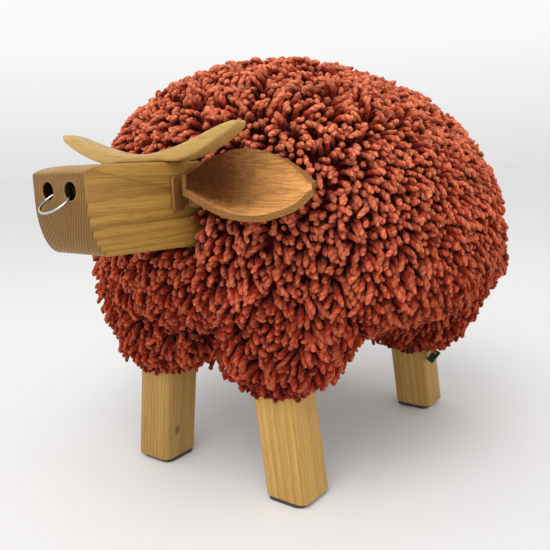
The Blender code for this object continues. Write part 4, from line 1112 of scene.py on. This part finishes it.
# Near the seam between body and sleeve the loops hang longer
SEAM_LONGER = 0.35
SEAM_WIDTH = 0.016
# How far above the hems the loops there may end, and how much of a loop stays
HEM_UNEVEN = 0.018
HEM_LEAST = 0.35
# The side of a loop that faces out takes the tip's painted light, and low on the cover the yarn takes
# painted shade
FACING_LIGHT_REACH = 0.24
LOW_SHADE_REACH = 0.72
LOW_SHADE_SPAN = (0.10, 0.36)
# A loop's cell in the flat map: its margin, where its wall ends and the radius of its two ends
CELL_MARGIN = 0.06
CELL_SIDES_HIGH = 0.80
CELL_CAP = 0.07

# Sewn panels of the body cover, in the order that panel_of counts them
PANELS = (
    "crown_front", "crown_rear", "side_left_front", "side_left_rear", "side_right_front", "side_right_rear",
    "chest_left", "chest_right", "rump_left", "rump_right",
)


def panel_of(normals, places):
    """Which sewn panel of the cover each loop belongs to."""
    behind = places[:, 1] > places[:, 1].mean()
    side = np.where(normals[:, 0] > 0, 2, 4) + behind
    end = np.where(normals[:, 1] < 0, 6, 8) + (places[:, 0] < 0)
    sideways = np.abs(normals[:, 0]) > np.abs(normals[:, 1])
    return np.where(normals[:, 2] > 0.66, behind, np.where(sideways, side, end))


def loop_paths(roots, normals, depths, sleeve, seam, settings, random):
    """The middle line of each loop. It leaves the backing upright and flops over towards its fall."""
    count = len(roots)
    crown = ramp(normals[:, 2], CROWN_START, CROWN_FULL)[:, None]
    flop = soft_field(roots, FLOP_SIZE, settings.seed)
    jitter = random.normal(size=(count, 3))
    down = np.array([0.0, 0.0, -1.0])
    fall = down * (1 - crown) + unit(flop) * (0.55 + 0.65 * crown) + jitter * (0.38 + 0.17 * crown)
    fall = fall - normals * (fall * normals).sum(axis=1, keepdims=True)
    lying = np.linalg.norm(fall, axis=1)
    fall = unit(fall)
    bend = np.where(sleeve, SLEEVE_BEND, SIDE_BEND + (CROWN_BEND - SIDE_BEND) * crown[:, 0])
    bend = bend * np.clip(lying * 1.3, 0.25, 1) + random.normal(size=count) * BEND_SPREAD
    bend = np.clip(bend, 0.06, 1.80)
    height = depths - settings.loop_width / 2 + random.uniform(-1, 1, count) * LOOP_HEIGHT_SPREAD
    length = height * bend / np.sin(np.minimum(bend, math.pi / 2)) * (1 + SEAM_LONGER * seam)
    length = np.clip(length, LOOP_LEAST, LOOP_MOST)
    turned = bend[:, None] * LOOP_SHARES
    scale = (length / bend)[:, None]
    out = (np.sin(turned) * scale)[:, :, None] * normals[:, None, :]
    over = ((1 - np.cos(turned)) * scale)[:, :, None] * fall[:, None, :]
    sideways = np.cross(normals, fall)
    curl = random.normal(size=(count, 1)) * LOOP_CURL * LOOP_SHARES**2
    return roots[:, None, :] + out + over + curl[:, :, None] * sideways[:, None, :], sideways


def trim_hem(paths, hems, random):
    """Shrinks the loops that would hang below the hems, to an uneven line."""
    lowest = hems + random.uniform(0, 1, len(paths)) * HEM_UNEVEN
    roots = paths[:, :1]
    drop = np.maximum(roots[:, 0, 2] - paths[:, :, 2].min(axis=1), 1e-6)
    share = np.clip((roots[:, 0, 2] - lowest) / drop, HEM_LEAST, 1)
    return roots + (paths - roots) * share[:, None, None]


def keep_clear(paths, radius, walls):
    """Slides the loops along the hard pieces in their way. Says which of them start inside one."""
    reach = radius + LOOP_CLEAR
    near = nearest_distances(walls, paths[:, paths.shape[1] // 2])
    close = np.flatnonzero(near < LOOP_MOST)
    inside = np.zeros(len(paths), bool)
    roots = paths[close, 0]
    inside[close] = within(walls, roots) | (nearest_distances(walls, roots) < radius * 0.5)
    for index in close[~inside[close]]:
        for step in range(1, paths.shape[1]):
            before, point = Vector(paths[index, step - 1]), Vector(paths[index, step])
            way = point - before
            hit, normal, _, _ = walls.ray_cast(before, way.normalized(), way.length + reach)
            if hit is not None:
                if normal.dot(way) > 0:
                    normal = -normal
                short = reach - (point - hit).dot(normal)
                if short > 0:
                    point += normal * short
            place, _, _, distance = walls.find_nearest(point, reach)
            if place is not None and 1e-6 < distance < reach:
                point = place + (point - place) * (reach / distance)
            paths[index, step:] += np.array(point) - paths[index, step]
    return inside


def loop_faces():
    """The faces of one loop as corner numbers and sizes, with each corner's side and ring."""
    last = len(LOOP_SHARES) - 1
    corners = [(0, side) for side in reversed(range(LOOP_SIDES))]
    for level in range(last):
        for side in range(LOOP_SIDES):
            corners += [(level, side), (level, side + 1), (level + 1, side + 1), (level + 1, side)]
    corners += [(last, side) for side in range(LOOP_SIDES)]
    level_of, across = np.array(corners).T
    sizes = [LOOP_SIDES] + [4] * (last * LOOP_SIDES) + [LOOP_SIDES]
    return level_of * LOOP_SIDES + across % LOOP_SIDES, sizes, across, level_of


def loop_mesh(name, twist_pitch, paths, sideways, outward, heights, widths, twists, tints, lumps):
    """One closed two-ply loop along each path."""
    count, levels = paths.shape[:2]
    along = unit(np.gradient(paths, axis=1))
    side = unit(sideways[:, None, :] - along * (along * sideways[:, None, :]).sum(axis=2, keepdims=True))
    up = np.cross(along, side)
    angles = 2 * math.pi * np.arange(LOOP_SIDES) / LOOP_SIDES
    lengths = np.linalg.norm(np.diff(paths, axis=1), axis=2).sum(axis=1)
    turns = twists[:, None] + lengths[:, None] / twist_pitch * LOOP_SHARES
    lobes = 1 + LOOP_LOBES * np.cos(2 * (angles - 2 * math.pi * turns[:, :, None]))
    reach = widths[:, None, None] / 2 * (LOOP_PROFILE * lumps)[:, :, None] * lobes
    points = (
        paths[:, :, None, :]
        + side[:, :, None, :] * (reach * np.cos(angles))[:, :, :, None]
        + up[:, :, None, :] * (reach * np.sin(angles))[:, :, :, None]
    )
    template, sizes, across, level_of = loop_faces()
    each = levels * LOOP_SIDES
    corners = (np.arange(count)[:, None] * each + template).ravel()
    starts = np.concatenate([[0], np.cumsum(np.tile(sizes, count))[:-1]])
    mesh = bpy.data.meshes.new(name)
    mesh.vertices.add(count * each)
    mesh.vertices.foreach_set("co", points.astype(np.float32).ravel())
    mesh.loops.add(len(corners))
    mesh.loops.foreach_set("vertex_index", corners.astype(np.int32))
    mesh.polygons.add(len(starts))
    mesh.polygons.foreach_set("loop_start", starts.astype(np.int32))
    mesh.update(calc_edges=True)
    mesh.shade_smooth()
    # The reach picks the yarn's colour: it grows up the loop, sides that face out gain painted light, and
    # low on the cover it shrinks for painted shade.
    lift = ((paths - paths[:, :1]) * outward[:, None, :]).sum(axis=2) / heights[:, None]
    facing = (unit(points - paths[:, :, None, :]) * outward[:, None, None, :]).sum(axis=3)
    lift = lift[:, :, None] + facing * FACING_LIGHT_REACH
    lift = lift * (LOW_SHADE_REACH + (1 - LOW_SHADE_REACH) * ramp(points[..., 2], *LOW_SHADE_SPAN))
    set_attribute(mesh, "reach", np.clip(lift, 0, 1.5).ravel())
    set_attribute(mesh, "tint", np.repeat(tints, each))
    shape = (count, len(template))
    set_map(mesh, "strand", np.broadcast_to(across / LOOP_SIDES, shape), turns[:, level_of])
    set_map(mesh, "OFBake", *flat_cells(count, across, level_of))
    return mesh


def set_map(mesh, name, u, v):
    """Stores a flat map, given for each loop of yarn and each of its corners."""
    flat = np.stack([u, v], axis=-1).astype(np.float32)
    mesh.uv_layers.new(name=name).data.foreach_set("uv", flat.ravel())


def flat_cells(count, across, level_of):
    """A flat map with one cell for each loop: its wall unrolled, and its two ends above the wall."""
    wall = np.ones(len(across), bool)
    wall[:LOOP_SIDES] = wall[-LOOP_SIDES:] = False
    foot = level_of == 0
    angle = 2 * math.pi * across / LOOP_SIDES
    span = CELL_SIDES_HIGH - CELL_MARGIN
    u = CELL_MARGIN + (1 - 2 * CELL_MARGIN) * across / LOOP_SIDES
    v = CELL_MARGIN + span * level_of / (len(LOOP_SHARES) - 1)
    u = np.where(wall, u, np.where(foot, 0.3, 0.7) + CELL_CAP * np.cos(angle) * np.where(foot, -1, 1))
    v = np.where(wall, v, (1 + CELL_SIDES_HIGH) / 2 + CELL_CAP * np.sin(angle))
    columns = math.ceil(math.sqrt(count))
    cell = np.arange(count)[:, None]
    return (cell % columns + u) / columns, (cell // columns + v) / columns


def build_backing(form, skin, sewn):
    """The cloth that the pile is sewn to: the sewn part of the form's skin."""
    shape = bmesh.new()
    shape.from_mesh(form)
    shape.verts.ensure_lookup_table()
    for vertex, point in zip(shape.verts, skin):
        vertex.co = point
    bare = [vertex for vertex in shape.verts if not sewn[vertex.index]]
    bmesh.ops.delete(shape, geom=bare, context="VERTS")
    backing = link_object("cover_backing", mesh_of(shape, "cover_backing"))
    change(backing, "thickness", "SOLIDIFY", thickness=BACKING_THICK, offset=-1)
    backing.data.shade_smooth()
    set_attribute(backing.data, "reach", BACKING_SHADE_REACH)
    set_attribute(backing.data, "tint", BACKING_TINT)
    dress(backing, "loop_pile", COVER_NODES)


def build_cover(settings):
    form = cover_form()
    mesh = form.data
    mesh.calc_loop_triangles()
    triangles = numbers(mesh.loop_triangles, "vertices", np.int32, 3)
    edges = numbers(mesh.edges, "vertices", np.int32, 2)
    points, normals = vertices_of(mesh)
    normals = unit(relax(normals, edges, 3))

    body_away = nearest_distances(tree_of("cover_body"), points)
    sleeve_away = [nearest_distances(tree_of(sleeve), points) for sleeve in SLEEVES]
    bare_away = nearest_distances(tree_of(*LEGS, "dust_cover"), points)
    covered = np.minimum(body_away, np.min(sleeve_away, axis=0)) < bare_away
    own, hard = BVHTree.FromPolygons(points.tolist(), triangles.tolist()), tree_of(*LEGS, *BOARDS, *FOAMS)
    depths = relax(depths_at(points, normals, own, hard, settings.pile_depth), edges, 4)
    skin = points - normals * depths[:, None]
    head = tree_of("head_block", "ear_left", "ear_right", *EAR_TABS)
    build_backing(mesh, skin, covered & (nearest_distances(head, skin) > WALL_MARGIN) & ~within(head, skin))

    random = np.random.default_rng(settings.seed)
    spacing = settings.loop_spacing * 1.0
    whole = triangles[covered[triangles].all(axis=1)]
    triangle, weights = scatter(points, whole, spacing, random)
    corners = whole[triangle]

    def read(values):
        share = weights if values.ndim == 1 else weights[:, :, None]
        return (values[corners] * share).sum(axis=1)

    roots, outward, depth = read(skin), unit(read(normals)), read(depths)
    nearest_sleeve = np.stack([read(values) for values in sleeve_away])
    sleeve_index, apart = nearest_sleeve.argmin(axis=0), nearest_sleeve.min(axis=0) - read(body_away)
    sleeve = apart < 0
    seam = np.clip(1 - np.abs(apart) / SEAM_WIDTH, 0, 1)
    paths, sideways = loop_paths(roots, outward, depth, sleeve, seam, settings, random)
    sleeve_lows = np.array([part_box(name)[0].z for name in SLEEVES])
    paths = trim_hem(paths, np.where(sleeve, sleeve_lows[sleeve_index], 0.0), random)
    heights = ((paths - roots[:, None, :]) * outward[:, None, :]).sum(axis=2).max(axis=1)
    heights = np.maximum(heights, depth * 0.6)
    width = settings.loop_width * 1.0
    walls = tree_of("head_block", "horns", "ear_left", "ear_right", "side_tab", *EAR_TABS, *LEGS)
    inside = keep_clear(paths, width / 2, walls)
    widths = width * random.uniform(0.90, 1.10, len(paths))
    twists = random.random(len(paths))
    tints = random.random(len(paths))
    lumps = 1 + LOOP_LUMPS * np.clip(random.normal(size=paths.shape[:2]), -1.5, 1.5)
    panel = np.where(sleeve, len(PANELS) + sleeve_index, panel_of(outward, roots))
    loops = (paths, sideways, outward, heights, widths, twists, tints, lumps)
    for index, label in enumerate(PANELS + SLEEVES):
        own = (panel == index) & ~inside
        if own.any():
            pile = loop_mesh("pile_" + label, settings.twist_pitch, *(values[own] for values in loops))
            node = label if label in SLEEVES else "cover_body"
            dress(link_object("pile_" + label, pile), "loop_pile", [node])
    bpy.data.objects.remove(form)


# Dust cover: black cloth stretched under the frame, its rims tacked to the boards
DUST_STEPS = 36
DUST_THICK = 0.0009
DUST_SAG = 0.0006
DUST_PUCKER = 0.00010
TACK_RADIUS = 0.0024
TACK_HEIGHT = 0.0009
TACKS_ALONG = 8
TACKS_ACROSS = 4
TACK_INSET = 0.006


def dust_point(u, v, level, pucker):
    """A point of the dust cover, at shares u of its width and v of its length."""
    drop = DUST_SAG * math.sin(math.pi * u) * math.sin(math.pi * v)
    drop += pucker * math.sin(26 * math.pi * v) * abs(2 * u - 1) ** 3
    x, y = DUST_LOW.x + (DUST_HIGH.x - DUST_LOW.x) * u, DUST_LOW.y + (DUST_HIGH.y - DUST_LOW.y) * v
    return x, y, level - drop * 0.5


def build_dust_cover():
    low, high = DUST_LOW, DUST_HIGH
    steps = [step / DUST_STEPS for step in range(DUST_STEPS + 1)]
    upper, lower = [
        [[dust_point(u, v, level, pucker) for v in steps] for u in steps]
        for level, pucker in ((high.z, 0), (high.z - DUST_THICK, DUST_PUCKER))
    ]
    cloth = link_object("dust_cloth", closed_sheet("dust_cloth", upper, lower))
    cloth.data.shade_smooth()
    set_attribute(cloth.data, "grain_place", vertices_of(cloth.data)[0])
    dress(cloth, "dust_cloth", ["dust_cover"])

    near, far = low + Vector((TACK_INSET, TACK_INSET, 0)), high - Vector((TACK_INSET, TACK_INSET, 0))
    alongs = [near.y + (far.y - near.y) * step / (TACKS_ALONG - 1) for step in range(TACKS_ALONG)]
    acrosses = [near.x + (far.x - near.x) * step / TACKS_ACROSS for step in range(1, TACKS_ACROSS)]
    spots = [(x, y) for y in alongs for x in (near.x, far.x)]
    spots += [(x, y) for x in acrosses for y in (near.y, far.y)]
    shape = bmesh.new()
    flatten = Matrix.Diagonal((1, 1, TACK_HEIGHT / TACK_RADIUS, 1))
    for x, y in spots:
        place = Matrix.Translation((x, y, high.z - DUST_THICK - 0.0001)) @ flatten
        bmesh.ops.create_uvsphere(shape, u_segments=16, v_segments=8, radius=TACK_RADIUS, matrix=place)
    tacks = link_object("dust_tacks", mesh_of(shape, "dust_tacks"))
    tacks.data.shade_smooth()
    dress(tacks, "zinc_steel")


# Side tab: a strip of green cloth folded once
SIDE_TAB_SIDE = 0.016
SIDE_TAB_THICK = 0.0012
SIDE_TAB_TURN = math.radians(45)
SIDE_TAB_LEAN = math.radians(40)
FOLD_PLY = 0.0005
FOLD_STEPS = 10
FOLD_WAVE = 0.00006


def fold_profile():
    """The folded strip seen from its edge, as (along, out) pairs down one leaf, round the fold and back."""
    half = SIDE_TAB_SIDE / 2
    bend = (SIDE_TAB_THICK - FOLD_PLY) / 2
    down = [(half - (2 * half - bend) * step / 4, bend + FOLD_WAVE * math.sin(step * 2.2))
            for step in range(1, 4)]
    angles = [math.pi / 2 + math.pi * step / FOLD_STEPS for step in range(FOLD_STEPS + 1)]
    fold = [(-half + SIDE_TAB_THICK / 2 + bend * math.cos(a), bend * math.sin(a)) for a in angles]
    back = [(-half + bend + (2 * half - bend) * step / 4, -bend) for step in range(1, 4)]
    return [(half, bend)] + down + fold + back + [(half, -bend)]


def build_side_tab():
    points = [vertex.co for vertex in frame["nodes"]["side_tab"].data.vertices]
    middle = sum(points, Vector()) / len(points)
    turn = Matrix.Rotation(SIDE_TAB_TURN, 3, "Z") @ Matrix.Rotation(SIDE_TAB_LEAN, 3, "Y")
    half = SIDE_TAB_SIDE / 2
    profile = [Vector(pair) for pair in fold_profile()]
    faces = {-1: [], 1: []}
    for index, point in enumerate(profile):
        step = (profile[min(index + 1, len(profile) - 1)] - profile[max(index - 1, 0)]).normalized()
        for sign, rows in faces.items():
            along, out = point + Vector((-step.y, step.x)) * (sign * FOLD_PLY / 2)
            rows.append([middle + turn @ Vector((out, across, along)) for across in (-half, half)])
    tab = link_object("green_tab", closed_sheet("green_tab", faces[-1], faces[1]))
    shade(tab, SOFT_ANGLE)
    local = (vertices_of(tab.data)[0] - np.array(middle)) @ np.array(turn)
    set_attribute(tab.data, "grain_place", local[:, [1, 2, 0]])
    dress(tab, "green_cloth", ["side_tab"])


# What the pieces inside the cover are made of, by a word in their names
HIDDEN_KINDS = (
    ("foam_", "foam"), ("dowel", "dowel_wood"), ("screw", "zinc_steel"), ("neck_", "zinc_steel"),
    ("board", "plywood"),
)


def finish_hidden():
    """Materials for the pieces inside the cover, which keep their CAD shape."""
    for name, node in frame["nodes"].items():
        kind = next((kind for word, kind in HIDDEN_KINDS if word in name), None)
        if kind is None:
            continue
        if not node.material_slots:
            node.data.materials.append(None)
        for place in node.material_slots:
            place.material = material(kind)


FLOOR_SIDE = 60.0
FLOOR_SHADE = 0.99
BACKDROP_RISE = 0.18
KEY_SIZE = 1.4
KEY_PLACE = Vector((0.5, -1.3, 1.9))
KEY_AIM = Vector((0, 0, 0.12))
SENSOR_WIDTH = 36.0


def build_floor(settings):
    half = FLOOR_SIDE / 2
    corners = [(-half, -half, 0), (half, -half, 0), (half, half, 0), (-half, half, 0)]
    floor = link_object("floor", mesh_from("floor", corners, [(0, 1, 2, 3)]))
    paint, tree = start_material("floor_paint")
    colour = place_of(tree).noise(3.0).mix(scaled(settings.floor, FLOOR_SHADE), settings.floor)
    finish_material(paint, Base_Color=colour, Roughness=0.9, Specular_IOR_Level=0.1)
    floor.data.materials.append(paint)


def build_world(settings):
    """Even light from all round, and a backdrop that only the camera sees."""
    world = bpy.data.worlds.new("studio")
    bpy.context.scene.world = world
    world.use_nodes = True
    tree = world.node_tree
    tree.nodes.clear()
    upward = add_node(tree, "TexCoord", {}, "Generated").part("Z")
    strength = upward.span(0.0, 1.0, settings.sky_low, settings.sky_high)
    light = add_node(tree, "Background", {"Color": (1, 1, 1), "Strength": strength}, "Background")
    rise = upward.span(0.0, BACKDROP_RISE, settings.backdrop_low, 1.0)
    seen = add_node(tree, "Background", {"Color": settings.backdrop, "Strength": rise}, "Background")
    camera_ray = add_node(tree, "LightPath", {}, "Is Camera Ray")
    both = add_node(tree, "MixShader", {0: camera_ray, 1: light, 2: seen}, "Shader")
    add_node(tree, "OutputWorld", {"Surface": both})


def build_camera(settings):
    azimuth, pitch, roll = settings.azimuth, settings.pitch, settings.roll
    right = Vector((math.cos(azimuth), math.sin(azimuth), 0))
    ahead = Vector((-math.sin(azimuth), math.cos(azimuth), 0))
    forward = ahead * math.cos(pitch) - Vector((0, 0, math.sin(pitch)))
    up = right.cross(forward)
    leaning = right * math.cos(roll) + up * math.sin(roll)
    axes = (leaning, up * math.cos(roll) - right * math.sin(roll), -forward)
    lens = bpy.data.cameras.new("camera")
    lens.lens = settings.lens
    lens.sensor_width = SENSOR_WIDTH
    lens.clip_start = 0.01
    camera = link_object("camera", lens)
    camera.matrix_world = Matrix.Translation(settings.camera_place) @ Matrix(axes).transposed().to_4x4()
    bpy.context.scene.camera = camera


def build_lamp(settings):
    lamp = bpy.data.lights.new("key_lamp", "AREA")
    lamp.shape = "SQUARE"
    lamp.size = KEY_SIZE
    lamp.energy = settings.key_light
    thing = link_object("key_lamp", lamp)
    thing.location = KEY_PLACE
    thing.rotation_euler = (KEY_AIM - KEY_PLACE).to_track_quat("-Z", "Y").to_euler()


class FOOTSTOOL_OT_legs(bpy.types.Operator):
    """Build the four oak legs and their felt pads"""
    bl_idname = "footstool.legs"
    bl_label = "Legs and Pads"

    def execute(self, context):
        build_legs(context.scene.footstool_wood)
        build_pads(context.scene.footstool_wood)
        return {"FINISHED"}


class FOOTSTOOL_OT_head(bpy.types.Operator):
    """Build the oak head block with its nostrils"""
    bl_idname = "footstool.head"
    bl_label = "Head"

    def execute(self, context):
        build_head()
        return {"FINISHED"}


class FOOTSTOOL_OT_horns(bpy.types.Operator):
    """Build the crescent of horns"""
    bl_idname = "footstool.horns"
    bl_label = "Horns"

    def execute(self, context):
        build_horns()
        return {"FINISHED"}


class FOOTSTOOL_OT_ears(bpy.types.Operator):
    """Build the leather ears on their stems, and their tabs"""
    bl_idname = "footstool.ears"
    bl_label = "Ears"

    def execute(self, context):
        build_ears(context.scene.footstool_leather)
        return {"FINISHED"}


class FOOTSTOOL_OT_ring(bpy.types.Operator):
    """Build the nose ring"""
    bl_idname = "footstool.ring"
    bl_label = "Nose Ring"

    def execute(self, context):
        build_ring()
        return {"FINISHED"}


class FOOTSTOOL_OT_cover(bpy.types.Operator):
    """Build the cover: its backing and the loops of its pile"""
    bl_idname = "footstool.cover"
    bl_label = "Pile Cover"

    def execute(self, context):
        build_cover(context.scene.footstool_cover)
        return {"FINISHED"}


class FOOTSTOOL_OT_cloth(bpy.types.Operator):
    """Build the dust cover under the belly and the green side tab"""
    bl_idname = "footstool.cloth"
    bl_label = "Dust Cover and Tab"

    def execute(self, context):
        build_dust_cover()
        build_side_tab()
        return {"FINISHED"}


class FOOTSTOOL_OT_inside(bpy.types.Operator):
    """Give the frame, the foam and the fasteners their materials"""
    bl_idname = "footstool.inside"
    bl_label = "Inside Pieces"

    def execute(self, context):
        finish_hidden()
        return {"FINISHED"}


class FOOTSTOOL_OT_stage(bpy.types.Operator):
    """Set up the floor, the light and the camera"""
    bl_idname = "footstool.stage"
    bl_label = "Stage and Camera"

    def execute(self, context):
        settings = context.scene.footstool_stage
        context.scene.view_settings.view_transform = "Standard"
        for build in (build_floor, build_world, build_lamp, build_camera):
            build(settings)
        return {"FINISHED"}


STEPS = (
    FOOTSTOOL_OT_legs, FOOTSTOOL_OT_head, FOOTSTOOL_OT_horns, FOOTSTOOL_OT_ears, FOOTSTOOL_OT_ring,
    FOOTSTOOL_OT_cover, FOOTSTOOL_OT_cloth, FOOTSTOOL_OT_inside, FOOTSTOOL_OT_stage,
)
SETTINGS = (
    ("footstool_cover", CoverSettings), ("footstool_wood", WoodSettings),
    ("footstool_leather", LeatherSettings), ("footstool_stage", StageSettings),
)


class FOOTSTOOL_PT_panel(bpy.types.Panel):
    """Every step of the footstool, in order"""
    bl_idname = "FOOTSTOOL_PT_panel"
    bl_label = "Footstool"
    bl_space_type = "VIEW_3D"
    bl_region_type = "UI"
    bl_category = "Footstool"

    def draw(self, context):
        layout = self.layout
        for step in STEPS:
            layout.operator(step.bl_idname)
        for name, kind in SETTINGS:
            box = layout.box()
            for key in kind.__annotations__:
                box.prop(getattr(context.scene, name), key)


def register():
    for name, kind in SETTINGS:
        bpy.utils.register_class(kind)
        setattr(bpy.types.Scene, name, PointerProperty(type=kind))
    for step in STEPS:
        bpy.utils.register_class(step)
    bpy.utils.register_class(FOOTSTOOL_PT_panel)


def unregister():
    bpy.utils.unregister_class(FOOTSTOOL_PT_panel)
    for step in reversed(STEPS):
        bpy.utils.unregister_class(step)
    for name, kind in reversed(SETTINGS):
        delattr(bpy.types.Scene, name)
        bpy.utils.unregister_class(kind)


def main():
    register()
    for step in STEPS:
        group, name = step.bl_idname.split(".")
        getattr(getattr(bpy.ops, group), name)()


if __name__ == "__main__":
    main()
